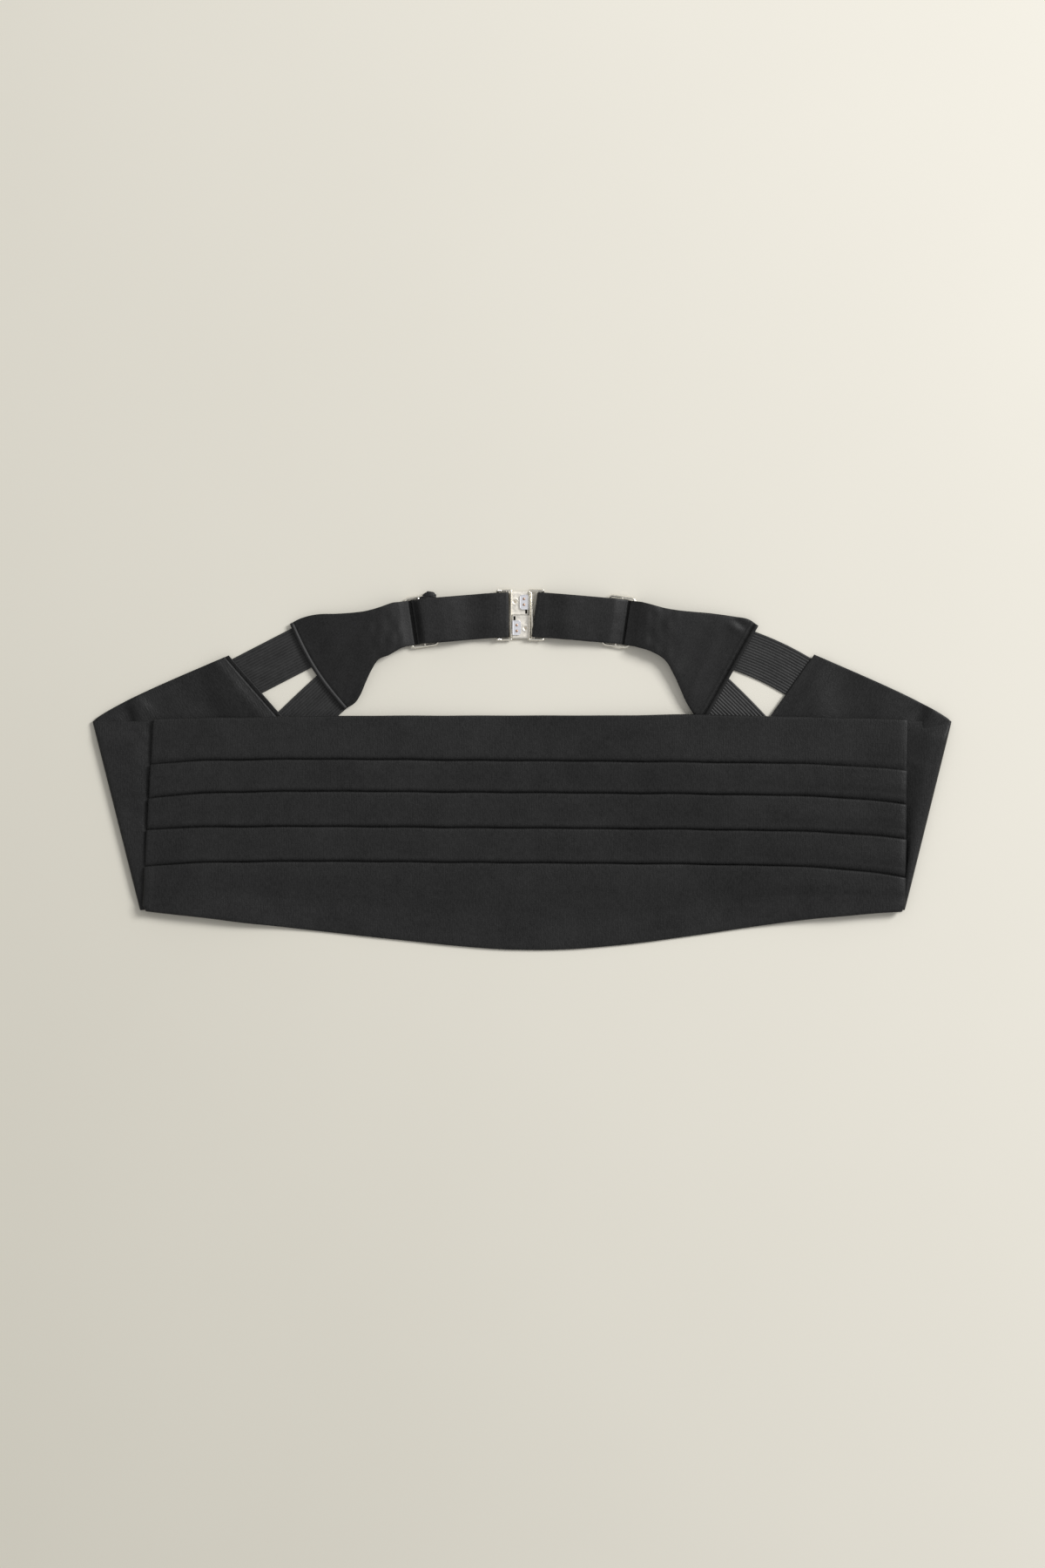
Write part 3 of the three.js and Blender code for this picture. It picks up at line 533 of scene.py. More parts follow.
def wing_grid(name):
    """Rows down the fold, and columns along the cloth from under the front, round the fold to the hem.
    The weave's lengths keep the ribs upright on the front layer, and mirrored in the fold behind it."""
    side = layout[name]
    down = edge_spacing(64, PANEL_END_HEIGHT)[:, None, None]
    fold = mix(side["fold_top"], side["fold_foot"], down)
    inner = mix(side["inner_top"], side["inner_foot"], down)
    hem = mix(side["hem_top"], side["hem_foot"], down)
    puff = FOLD_PUFF[name] * smooth(down[..., 0], 0, 0.1) * (1 - smooth(down[..., 0], 0.9, 1))
    low = ON_FLOOR
    high = WING_FRONT + puff
    radius = (high - low) / 2
    to_hem = (hem - fold) / np.linalg.norm(hem - fold, axis=2, keepdims=True)
    to_inner = (inner - fold) / np.linalg.norm(inner - fold, axis=2, keepdims=True)

    front_share = np.linspace(0, 1, 26)[None, :-1]
    start = fold + to_inner * radius[..., None]
    front_plan = mix(inner, start, front_share[..., None])
    visible = np.linalg.norm(fold - inner, axis=2) - WING_TUCK
    from_fold = (1 - front_share) * np.linalg.norm(fold - inner, axis=2) / np.maximum(visible, 1)
    swell = smooth(1 - from_fold, 0, 1 - CREST[name])
    front_z = WING_FRONT + puff * swell
    front_z = front_z + relief(front_plan[..., 0], front_plan[..., 1], side, FRONT_CREASES[name])

    angle = np.linspace(np.pi / 2, -np.pi / 2, 9)[None, :]
    blend = np.linspace(0, 1, 9)[None, :, None]
    way = mix(to_inner, to_hem, blend)
    way = way / np.linalg.norm(way, axis=2, keepdims=True)
    turn_plan = fold + way * (radius * (1 - np.cos(angle)))[..., None]
    turn_z = (low + high) / 2 + radius * np.sin(angle)

    length = np.linalg.norm(hem - fold, axis=2)
    edge = np.array([4.2, 3.5, 3.1, 2.85, 2.6, 2.4, 1.8, 1.2, 0.6, 0.3, 0.12, 0])
    back_share = np.concatenate([np.linspace(0, 1, 76)[1:], np.zeros(len(edge))])[None, :]
    near = 1 - edge[None, :] / length
    back_share = np.broadcast_to(back_share, (down.shape[0], back_share.shape[1])).copy()
    back_share[:, : -len(edge)] *= 1 - 5 / length
    back_share[:, -len(edge):] = near
    begin = fold + to_hem * radius[..., None]
    back_plan = mix(begin, hem, back_share[..., None])
    bow = side["back_bow"] * np.sin(np.pi * back_share**0.6) * (1 - down[..., 0])
    back_plan = back_plan + np.stack([np.zeros_like(bow), bow], -1)
    distance = (1 - back_share) * length
    back_z = low + lift_on_elastic(distance)
    free = smooth(distance, 2, 16)
    creases = relief(back_plan[..., 0], back_plan[..., 1], side, BACK_CREASES[name])
    back_z = back_z + np.maximum(creases + BACK_LOFT, 0) * free
    back_z = back_z + waves(back_plan[..., 0], back_plan[..., 1], 21, 40, 0.3) * free
    if name == "left":
        back_z = back_z + HEM_STEP * smooth(distance, 2.45, 3.1) * (1 - smooth(distance, 8, 24))
        back_z = back_z + HEM_TILT * (1 - smooth(distance, 0, 2.45)) - 0.35

    plan = np.concatenate([front_plan, turn_plan, back_plan], axis=1)
    z = np.concatenate([front_z, turn_z, np.maximum(back_z, 0.42)], axis=1)
    grid = np.concatenate([plan, z[..., None]], axis=2)

    # Weave: plan coordinates on the front layer, and their mirror image in the fold on the back one
    along = side["fold_foot"] - side["fold_top"]
    along = along / np.hypot(*along)
    offset = plan - side["fold_top"]
    mirrored = side["fold_top"] + 2 * (offset @ along)[..., None] * along - offset
    behind = np.concatenate([np.zeros(front_plan.shape[1]), np.linspace(0, 1, 9),
                             np.ones(back_plan.shape[1])])
    pattern = mix(plan, mirrored, behind[None, :, None])
    return grid, pattern


wings = {}
for name in layout:
    grid, pattern = wing_grid(name)
    down = edge_spacing(64, PANEL_END_HEIGHT)
    columns_in = np.full(grid.shape[1], 9.0)
    columns_in[-5:] = [1.2, 0.6, 0.3, 0.12, 0]
    thickness = rounded_edges(0.8, from_edges(down, PANEL_END_HEIGHT) * 0.6, columns_in)
    wings[name] = sheet_mesh(f"wing_{name}_cloth", grid, thickness, pattern=pattern)
    print("wing", name, len(wings[name].data.polygons), "faces")

# %% [markdown]
# ## The elastics
#
# Each elastic is a band with sixteen cords woven into it lengthwise. The cords are round, so the
# thickness of the sheet itself rises and falls across the band. A bump map would look the same from
# straight above and flat from the side.

# %% Ribbed bands between the hems and the yokes
ELASTIC_BOW = {"elastic_upper_left": 0.0, "elastic_lower_left": 0.3,
               "elastic_upper_right": 1.3, "elastic_lower_right": 0.4}


def crossing(point_a, along_a, point_b, along_b):
    """Where two straight lines cross, each given by points and a direction."""
    between = point_b - point_a
    share = (between[..., 0] * along_b[1] - between[..., 1] * along_b[0]) / (
        along_a[0] * along_b[1] - along_a[1] * along_b[0]
    )
    return point_a + share[..., None] * along_a


def elastic_grid(name):
    """Rows across the band, six to a rib, and columns from the hem to the yoke."""
    side_name, at_hem, at_yoke = ELASTICS[name]
    side = layout[side_name]
    edge_along = side["yoke_foot"][0] - side["yoke_top"][0]
    first = side["hem_top"] + side["hem_along"] * at_hem * HEM_LENGTH
    last = side["yoke_top"][0] + edge_along * at_yoke
    edge_along = edge_along / np.hypot(*edge_along)
    hem_normal = np.array([-side["hem_along"][1], side["hem_along"][0]])
    hem_normal = hem_normal * np.sign(hem_normal @ (side["fold_top"] - side["hem_top"]))
    yoke_normal = np.array([-edge_along[1], edge_along[0]])
    yoke_normal = yoke_normal * np.sign(yoke_normal @ (side["neck"] - side["yoke_top"][0]))
    along = (last - first) / np.hypot(*(last - first))
    across = np.array([-along[1], along[0]])
    share = np.linspace(0, 1, RIB_COUNT * 6 + 1)
    start = first + across * (ELASTIC_WIDTH * (share - 0.5))[:, None]
    begin = crossing(start, along, first + hem_normal * TUCK, side["hem_along"])
    end = crossing(start, along, last + yoke_normal * TUCK, edge_along)
    run_share = np.linspace(0, 1, 44)
    plan = mix(begin[:, None], end[:, None], run_share[None, :, None])
    bow = ELASTIC_BOW[name] * np.sin(np.pi * run_share) * np.sign(across[1])
    plan = plan + across * bow[None, :, None]
    z = 0.62 + waves(plan[..., 0], plan[..., 1], 31, 25, 0.2)
    grid = np.concatenate([plan, z[..., None]], axis=2)
    cords = np.abs(np.sin(np.pi * RIB_COUNT * share)) ** 0.75
    thickness = np.repeat((0.42 + 0.62 * cords)[:, None], len(run_share), axis=1)
    lengths = np.stack([np.broadcast_to(share[:, None] * ELASTIC_WIDTH, z.shape),
                        run_share[None, :] * np.linalg.norm(end - begin, axis=1)[:, None]], -1)
    return grid, thickness, lengths


elastics = {}
for name in ELASTICS:
    grid, thickness, lengths = elastic_grid(name)
    elastics[name] = sheet_mesh(f"{name}_band", grid, thickness, pattern=lengths)
    print(name, len(elastics[name].data.polygons), "faces")

# %% [markdown]
# ## The yokes
#
# A yoke is two plies sewn face to face and turned out, so its edges are soft and its middle stands
# a little proud. It widens from the neck, which folds over the outer bar of the slide, to the edge
# where the elastics are sewn in. The outline is a short table, and a smooth curve is laid through it.

# %% Shaped yokes
YOKE_CREASES = {
    "left": [
        {"out": 0.45, "up": -0.83, "turn": 60, "long": 6, "wide": 1.2, "rise": -0.5},
        {"out": 0.52, "up": -0.78, "turn": 75, "long": 5, "wide": 1.0, "rise": -0.4},
        {"out": 0.40, "up": -0.74, "turn": 55, "long": 7, "wide": 1.6, "rise": 0.3},
        {"out": 0.60, "up": -0.25, "turn": 110, "long": 18, "wide": 6, "rise": 0.3},
    ],
    "right": [
        {"out": 0.86, "up": 0.0, "turn": -30, "long": 4, "wide": 1.6, "rise": -0.8},
        {"out": 0.82, "up": -0.06, "turn": -35, "long": 5, "wide": 1.8, "rise": 0.5},
        {"out": 0.62, "up": -0.30, "turn": 70, "long": 22, "wide": 5, "rise": 0.4},
        {"out": 0.44, "up": -0.42, "turn": 60, "long": 16, "wide": 4, "rise": -0.35},
        {"out": 0.30, "up": -0.05, "turn": 75, "long": 14, "wide": 4, "rise": 0.35},
        {"out": 0.50, "up": -0.68, "turn": 65, "long": 14, "wide": 2.4, "rise": 0.3},
    ],
}
EDGE_RELIEF = {
    "left": [
        {"away": 0.9, "wide": 0.65, "rise": 0.35},
        {"away": 2.2, "wide": 0.6, "rise": -0.35},
    ],
    "right": [
        {"away": 0.8, "wide": 0.6, "rise": 0.25},
        {"away": 2.4, "wide": 0.75, "rise": -0.8},
        {"away": 4.0, "wide": 0.9, "rise": 0.3},
    ],
}
EDGE_BOW = {"left": 2.7, "right": 0.0}
NECK_TURN = {"left": -0.45, "right": -1.8}
NECK_RETURN = -4.4
NECK_END = {"left": 2.7, "right": 1.9}
NECK_RISE = {"left": (-3.4, 7, 25), "right": (-3.6, 2.5, 9)}
NECK_PEAK = {"left": 6.4, "right": 6.8}


def smooth_through(points, count, first_step=0):
    """Catmull-Rom curve through a list of points, sampled evenly in the list's own steps, with so many more
    samples in the first step."""
    padded = np.concatenate([2 * points[:1] - points[1:2], points, 2 * points[-1:] - points[-2:-1]])
    place = np.linspace(0, len(points) - 1, count)
    if first_step:
        place = np.concatenate([np.linspace(0, 1, first_step, endpoint=False), place[place >= 1]])
    i = np.minimum(place.astype(int), len(points) - 2)
    t = (place - i)[:, None]
    a, b, c, d = padded[i], padded[i + 1], padded[i + 2], padded[i + 3]
    return 0.5 * (2 * b + (c - a) * t + (2 * a - 5 * b + 4 * c - d) * t**2 + (3 * b - a - 3 * c + d) * t**3)


def yoke_grid(name):
    """Rows from the elastics to the neck, over the slide's bar and on in a short return under the strap, and
    columns across."""
    side = layout[name]
    share = edge_spacing(42, 45)

    def neck_row(distance):
        middle = side["neck"] + side["outward"] * distance
        return middle + side["bar_along"] * STRAP_WIDTH / 2, middle - side["bar_along"] * STRAP_WIDTH / 2

    near_top, near_foot = neck_row(3.5)
    tops = smooth_through(np.concatenate([side["yoke_top"], [near_top]]), 84, 30)
    feet = smooth_through(np.concatenate([side["yoke_foot"], [near_foot]]), 84, 30)
    body = mix(tops[:, None], feet[:, None], share[None, :, None])

    low = 0.5
    high = NECK_END[name]
    edge_start = side["yoke_top"][0]
    edge_along = side["yoke_foot"][0] - edge_start
    edge_along = edge_along / np.hypot(*edge_along)
    inward = np.array([-edge_along[1], edge_along[0]])
    inward = inward * np.sign(inward @ (side["neck"] - edge_start))
    away = (body - edge_start) @ inward
    bow = EDGE_BOW[name] * np.sin(np.pi * share)[None, :] * (1 - smooth(away, 0, 16))
    body = body - inward * bow[..., None]
    to_neck = (body - side["neck"]) @ side["outward"]
    width_in = from_edges(share, 45)[None, :]
    crown = 0.5 * np.sqrt(np.clip(width_in / 5, 0, 1))
    climb = away / (away + np.maximum(to_neck - 13, 0.01))
    body_z = mix(low + ON_ELASTIC - 0.1, NECK_PEAK[name] - 0.5, climb) + crown
    for row in EDGE_RELIEF[name]:
        body_z = body_z + row["rise"] * np.exp(-(((away - row["away"]) / row["wide"]) ** 2))
    sunk, steep, gentle = NECK_RISE[name]
    risen = mix(smooth(to_neck, sunk, steep), smooth(to_neck, sunk, gentle), 0.5)
    z = mix(high + 0 * body_z, body_z, risen)
    reach = np.array([YOKE_LENGTH * side["sign"], YOKE_DROP])
    for row in YOKE_CREASES[name]:
        x, y = side["neck"] + np.array([row["out"], row["up"]]) * reach
        z = z + ridge(body[..., 0], body[..., 1], {**row, "x": x, "y": y}) * smooth(away, 0.5, 4)
    free = smooth(away, 1, 8) * smooth(to_neck, 1, 8)
    z = z + waves(body[..., 0], body[..., 1], 41, 22, 0.35) * free
    z = z + waves(body[..., 0], body[..., 1] * 0.6, 43, 6.5, 0.34) * free * (1 - smooth(to_neck, 16, 30))
    grid = np.concatenate([body, np.maximum(z, 0.45)[..., None]], axis=2)

    rows = [grid]
    for step_along, step_height in zip(*half_turn(np.array([NECK_TURN[name]]), low, high, -1, 10)):
        top, foot = neck_row(step_along[0])
        row = mix(top, foot, share[:, None])
        rows.insert(1, np.concatenate([row, np.full((len(share), 1), step_height[0])], axis=1)[None])
    top, foot = neck_row(NECK_RETURN)
    under = np.concatenate([mix(top, foot, share[:, None]), np.full((len(share), 1), low)], axis=1)[None]
    return np.concatenate([*rows, under]), share


yokes = {}
for name in layout:
    grid, share = yoke_grid(name)
    rows_in = np.full(grid.shape[0], 9.0)
    rows_in[:1] = 0
    thickness = rounded_edges(0.9, rows_in, from_edges(share, 45))
    yokes[name] = sheet_mesh(f"yoke_{name}_cloth", grid, thickness, pattern=grid[..., :2])
    print("yoke", name, len(yokes[name].data.polygons), "faces")

# %% [markdown]
# ## The straps
#
# A strap is a doubled ribbon: one length goes round the slide's middle bar at one end and round the
# loop of the clasp at the other, and its two ends meet underneath. The path is drawn from the side,
# as distance along and height, and the ribbon's width is laid across it. The ribbon leans with the
# slide at one end and stands square to the clasp at the other.

# %% Doubled ribbons between slides and clasp
STRAP_OVER = {"left": 1.6, "right": 0.5}
STRAP_END = {"left": (-3.1, 0.8), "right": (-2.4, 0.8)}
STRAP_LOW = {"left": 1.7, "right": 1.9}
STRAP_RISE = {"left": 4.4, "right": 7.0}
STRAP_REST = {"left": 3.1, "right": 5.2}
STRAP_STRETCH = {"left": (3.6, 3.7), "right": (0.2, 3.7)}


def strap_grid(name):
    """Rows along the ribbon from one hidden end round both bars to the other, and columns across.
    At the slide the ribbon sinks to its fold."""
    side = layout[name]
    low = 0.5
    high = OVER_BAR + 0.3
    over = high + STRAP_OVER[name]
    resting = STRAP_REST[name]
    bar_out = RIM_PITCH / 2 + LOOP_REACH - 0.8
    loop_bar = clasp + np.array([side["sign"] * bar_out, 0])
    length = np.hypot(*(side["slider"] - loop_bar))
    one = np.ones(1)
    parts = []

    def add(part, backwards=False):
        along, height = (np.broadcast_to(value, part[0].shape)[:, 0] for value in part)
        parts.append(np.stack([along, height])[:, :: -1 if backwards else 1])

    turn_at, turn_reach = STRAP_END[name]
    add(run(one * length * 0.55, one * turn_at, low, low, 6))
    add(half_turn(one * turn_at, low, STRAP_LOW[name], -1, 12, turn_reach))
    top_at = turn_at + STRAP_RISE[name]
    add(run(one * turn_at, one * top_at, STRAP_LOW[name], over, 16, 0.8))
    add(run(one * top_at, one * (BAR_PITCH + 3), over, over, 6))
    add(run(one * (BAR_PITCH + 3), one * length * 0.7, over, resting, 18))
    add(run(one * length * 0.7, one * (length - 2.5), resting, high, 14))
    add(run(one * (length - 2.5), one * (length + 1.0), high, high - 0.4, 6))
    add(half_turn(one * (length + 1.0), low, high - 0.4, 1, 12), backwards=True)
    add(run(one * (length - 1), one * length * 0.6, low, low, 6))
    along, height = np.concatenate(parts, axis=1)

    share = edge_spacing(24, STRAP_WIDTH)
    place = along / length
    middle = mix(side["slider"], loop_bar, place[:, None])
    lean = np.radians(SLIDER_TILT) * side["sign"] * (1 - np.clip(place, 0, 1))
    across = np.stack([np.sin(lean), np.cos(lean)], -1)
    plan = middle[:, None] + across[:, None] * (0.5 - share)[None, :, None] * STRAP_WIDTH
    stretch = mix(*STRAP_STRETCH[name], share)[None, :] * smooth(along, length - 8, length + 1)[:, None]
    plan[..., 0] -= side["sign"] * stretch
    upper = smooth(height, low + 0.4, low + 1.2)[:, None]
    z = np.broadcast_to(height[:, None], plan.shape[:2])
    z = z + waves(plan[..., 0], plan[..., 1], 51, 24, 0.3) * upper
    z = z + waves(plan[..., 0], plan[..., 1], 52, 8, 0.07) * upper
    z = z + 0.35 * upper * np.sqrt(np.clip(from_edges(share, STRAP_WIDTH) / 8, 0, 1))[None, :]
    grid = np.concatenate([plan, z[..., None]], axis=2)
    steps = np.concatenate([[0], np.cumsum(np.hypot(np.diff(along), np.diff(height)))])
    pattern = np.stack([np.broadcast_to(steps[:, None], z.shape),
                        np.broadcast_to(share[None, :] * STRAP_WIDTH, z.shape)], -1)
    return grid, share, pattern


straps = {}
for name in layout:
    grid, share, pattern = strap_grid(name)
    rows_in = np.full(grid.shape[0], 9.0)
    thickness = rounded_edges(0.9, rows_in, from_edges(share, STRAP_WIDTH))
    straps[name] = sheet_mesh(f"strap_{name}_ribbon", grid, thickness, pattern=pattern)
    print("strap", name, len(straps[name].data.polygons), "faces")

# %% [markdown]
# ### The rolled end of the left strap
#
# At the left slide the ribbon's own end is rolled up and stands out above the strap as a dark dome.

# %% Rolled ribbon end
TAIL_WIDTH = 10.5
TAIL_REACH = 3.4
TAIL_SHIFT = 4.6


def tail_grid():
    """A wedge in plan that rises to its peak and rounds off towards the clasp, with rolls across it."""
    side = layout["left"]
    middle = side["slider"] - side["outward"] * TAIL_SHIFT
    aside = np.linspace(-1, 1, 30)[:, None]
    reach = np.linspace(0, 1, 26)[None, :]
    inner = -aside
    slope = np.clip((inner + 1.05) / 1.2, 0, 1)
    rounded = np.sqrt(np.clip(1 - (np.clip(inner - 0.15, 0, 1) / 0.9) ** 2, 0, 1))
    dome = TAIL_REACH * np.where(inner < 0.15, slope, rounded)
    out = mix(STRAP_WIDTH / 2 - 8, STRAP_WIDTH / 2 + dome, reach)
    x = middle[0] + side["outward"][0] * aside * TAIL_WIDTH / 2 + side["bar_along"][0] * out
    y = middle[1] + side["outward"][1] * aside * TAIL_WIDTH / 2 + side["bar_along"][1] * out
    rolls = 0.28 * np.cos(2 * np.pi * ((out - STRAP_WIDTH / 2) / 1.5 + inner * 1.1))
    z = 3.35 + rolls - 0.8 * aside**2 * reach - 1.2 * smooth(reach, 0.75, 1)
    return np.stack([x, y, z], -1)


grid = tail_grid()
tail = sheet_mesh("rolled_ribbon_end", grid, 0.8, pattern=grid[..., :2])
print("rolled end:", len(tail.data.polygons), "faces")

# %% [markdown]
# ## Slides and clasp
#
# The slides are bent and soldered wire: a frame with a bar across its middle. A round section carried
# along a path makes each wire. The clasp is stamped from sheet metal. Each half is a plate with a
# pressed dimple, an upright rolled rim, a wire loop for the strap and a riveted catch plate, and the
# two halves are the same piece turned half a turn, hooked into each other.

# %% A section carried along a path
def tube(name, path, wide, high, closed=False, sides=14):
    """Wire along a path of points in mm: an ellipse of half width wide and half height high stands square
    to the path at every point, and both ends are closed by rings that shrink to their middle."""
    path = np.asarray(path, float)
    if closed:
        tangents = np.roll(path, -1, axis=0) - np.roll(path, 1, axis=0)
    else:
        tangents = np.gradient(path, axis=0)
    tangents /= np.linalg.norm(tangents, axis=1, keepdims=True)
    up = np.array([0.0, 0.0, 1.0])
    aside = np.cross(up, tangents)
    aside /= np.linalg.norm(aside, axis=1, keepdims=True)
    top = np.cross(tangents, aside)
    size = np.ones(len(path))
    if not closed:
        cap = np.array([0.05, 0.55, 0.85])
        ends = np.array([-1.0, -0.85, -0.5]) * wide
        first = path[0] + tangents[0] * ends[:, None]
        last = path[-1] - tangents[-1] * ends[::-1, None]
        path = np.concatenate([first, path, last])
        aside = np.concatenate([aside[[0] * 3], aside, aside[[-1] * 3]])
        top = np.concatenate([top[[0] * 3], top, top[[-1] * 3]])
        size = np.concatenate([cap, size, cap[::-1]])
    angle = np.linspace(0, 2 * np.pi, sides, endpoint=False)
    rings = path[:, None] + size[:, None, None] * (
        wide * np.cos(angle)[None, :, None] * aside[:, None]
        + high * np.sin(angle)[None, :, None] * top[:, None]
    )
    count = len(path)
    number = np.arange(count * sides).reshape(count, sides)
    following = np.roll(number, -1, axis=0) if closed else number[1:]
    current = number if closed else number[:-1]
    faces = np.stack([current, following, np.roll(following, -1, axis=1), np.roll(current, -1, axis=1)], -1)
    faces = faces.reshape(-1, 4).tolist()
    if not closed:
        faces += [number[0].tolist(), number[-1][::-1].tolist()]
    mesh = bpy.data.meshes.new(name)
    mesh.from_pydata((rings.reshape(-1, 3) * MM).tolist(), [], faces)
    mesh.polygons.foreach_set("use_smooth", [True] * len(mesh.polygons))
    mesh.update()
    piece = bpy.data.objects.new(name, mesh)
    bpy.context.scene.collection.objects.link(piece)
    return turned_out(piece)


def rounded_loop(half_x, half_y, corner, steps=7):
    """Rectangle with round corners, as points in order."""
    angle = np.linspace(0, np.pi / 2, steps)
    points = []
    for quarter, (x, y) in enumerate([(1, 1), (-1, 1), (-1, -1), (1, -1)]):
        turn = angle + quarter * np.pi / 2
        points.append(np.stack([x * (half_x - corner) + corner * np.cos(turn),
                                y * (half_y - corner) + corner * np.sin(turn)], -1))
    return np.concatenate(points)


def joined(name, pieces):
    """One object from several, with their meshes joined."""
    with bpy.context.temp_override(active_object=pieces[0], selected_editable_objects=pieces):
        bpy.ops.object.join()
    pieces[0].name = name
    pieces[0].data.name = name
    return pieces[0]


# %% Wire slides
def slide(name):
    """A round-cornered frame and a middle bar, leaning with the strap."""
    side = layout[name]
    turn = np.stack([side["outward"], side["bar_along"]])
    height = BAR_FLOOR + BAR_THICK / 2
    half_y = STRAP_WIDTH / 2 + 0.6 + BAR_WIDTH / 2
    frame_path = rounded_loop(BAR_PITCH, half_y, 2.2) @ turn + side["slider"]
    bar = np.stack([np.zeros(9), np.linspace(-half_y, half_y, 9)], -1) @ turn + side["slider"]
    lift = [np.full((len(path), 1), height) for path in (frame_path, bar)]
    wire = tube(f"slide_{name}_frame", np.hstack([frame_path, lift[0]]), 0.62, 0.58, closed=True)
    middle = tube(f"slide_{name}_bar", np.hstack([bar, lift[1]]), 0.62, 0.55)
    return joined(f"slide_{name}_wire", [wire, middle])


slides = {name: slide(name) for name in layout}
print("slides:", [len(piece.data.polygons) for piece in slides.values()])

# %% Clasp halves and catches
DIMPLE_AT = (2.2, 7.4)
PLATE_TOP = CLASP_HEIGHT / 2 - 0.6


def turned_half(piece, name):
    """The right half is the left one turned half a turn about the clasp's centre."""
    points = np.empty(len(piece.data.vertices) * 3)
    piece.data.vertices.foreach_get("co", points)
    points = points.reshape(-1, 3) / MM
    if name == "right":
        points[:, :2] = -points[:, :2]
    points[:, :2] += clasp
    piece.data.vertices.foreach_set("co", (points * MM).ravel())
    piece.data.update()
    return piece


def clasp_half(name):
    """Plate with a dimple and a slot, rolled rim and strap loop, in the left half's own place."""
    rim = -RIM_PITCH / 2
    reach = RIM_PITCH / 2 - 0.475 - GAP
    floor = BAR_FLOOR
    columns = np.concatenate([np.linspace(rim, reach - 1.7, 46), np.linspace(reach - 1.69, reach - 0.5, 8),
                              np.linspace(reach - 0.49, reach, 5)])
    rows = np.concatenate([np.linspace(0.15, 0.65, 4), np.linspace(0.66, 3.05, 12),
                           np.linspace(3.06, PLATE_TOP, 52)])
    x, y = np.meshgrid(columns, rows, indexing="ij")
    away = np.hypot(x - rim - DIMPLE_AT[0], y - DIMPLE_AT[1])
    dimple = -1.5 * (1 - smooth(away, 0.75, 1.1)) + 0.16 * np.exp(-(((away - 1.65) / 0.35) ** 2))
    rolled = -0.25 * smooth(y, PLATE_TOP - 0.7, PLATE_TOP) ** 2
    z = floor + 0.45 + dimple + rolled
    slot_from, slot_to = reach - 1.695, reach - 0.5
    slot_low, slot_high = 0.655, 3.055
    slot = ((x[:-1, :-1] > slot_from) & (x[:-1, :-1] < slot_to)
            & (y[:-1, :-1] > slot_low) & (y[:-1, :-1] < slot_high))
    plate = sheet_mesh(f"plate_{name}", np.stack([x, y, z], -1), 0.7, kept=~slot)
    edge = plate.modifiers.new("soft edges", "BEVEL")
    edge.width = 0.12 * MM
    edge.segments = 2
    edge.limit_method = "ANGLE"
    edge.angle_limit = np.radians(50)

    top = CLASP_HEIGHT / 2
    ys = np.linspace(-top + 0.4, top - 0.4, 40)
    bow = 0.12 * np.cos(np.pi * ys / CLASP_HEIGHT)
    rim_path = np.stack([rim - bow, ys, np.full(40, floor + 1.2)], -1)
    rim_wire = tube(f"rim_{name}", rim_path, 0.42, 1.15, sides=18)
    inner = STRAP_WIDTH / 2 + GAP + 0.8
    far = rim - LOOP_REACH + 0.8
    loop = np.array([[rim, inner], [far + 1.4, inner], [far + 0.4, inner - 0.15], [far, inner - 1.2],
                     [far, 0], [far, 1.2 - inner], [far + 0.4, 0.15 - inner], [far + 1.4, -inner],
                     [rim, -inner]])
    loop = smooth_through(loop, 90)
    ends = np.exp(-(((np.abs(loop[:, 1]) - inner) / 0.9) ** 2)) * np.exp(-(((loop[:, 0] - far) / 1.4) ** 2))
    loop_path = np.hstack([loop, (floor + 0.6 + 1.1 * ends)[:, None]])
    loop_wire = tube(f"loop_{name}", loop_path, 0.72, 0.55, sides=14)
    bar_end = 12.6
    bar_z = 2.1
    near_bars = [
        tube(f"bar_{name}_{k}", [[rim - top_gap, bar_end, bar_z], [rim - 1.0 - 0.3 * k, 0, bar_z],
                                 [rim - 0.9, -bar_end, bar_z]], 0.46, 0.4, sides=10)
        for k, top_gap in enumerate([1.3, 2.5])
    ]
    # The tongue under the slot is finished near black: a dark sheet put there as painted shade in the slot
    tongue_x, tongue_y = np.meshgrid(np.linspace(reach - 2.6, reach - 0.2, 5),
                                     np.linspace(0.4, 3.4, 7), indexing="ij")
    tongue_z = np.full(tongue_x.shape, floor - 0.25)
    tongue = sheet_mesh(f"tongue_{name}", np.stack([tongue_x, tongue_y, tongue_z], -1), 0.4)
    return [turned_half(piece, name) for piece in (plate, rim_wire, loop_wire, *near_bars, tongue)]


def rivet(name, x, y, floor, radius, rise):
    """A round head: rings that shrink on a quarter of an ellipse, closed at the top."""
    angle = np.linspace(0, np.pi / 2, 6)
    ring = np.linspace(0, 2 * np.pi, 17)[:-1]
    size = np.maximum(np.cos(angle), 0.06) * radius
    points = np.stack([x + size[:, None] * np.cos(ring), y + size[:, None] * np.sin(ring),
                       np.repeat((floor + rise * np.sin(angle))[:, None], 16, axis=1)], -1)
    number = np.arange(6 * 16).reshape(6, 16)
    faces = np.stack([number[:-1], number[1:], np.roll(number[1:], -1, 1), np.roll(number[:-1], -1, 1)], -1)
    mesh = bpy.data.meshes.new(name)
    mesh.from_pydata((points.reshape(-1, 3) * MM).tolist(), [],
                     faces.reshape(-1, 4).tolist() + [number[0].tolist(), number[-1][::-1].tolist()])
    mesh.polygons.foreach_set("use_smooth", [True] * len(mesh.polygons))
    piece = bpy.data.objects.new(name, mesh)
    bpy.context.scene.collection.objects.link(piece)
    return turned_out(piece)


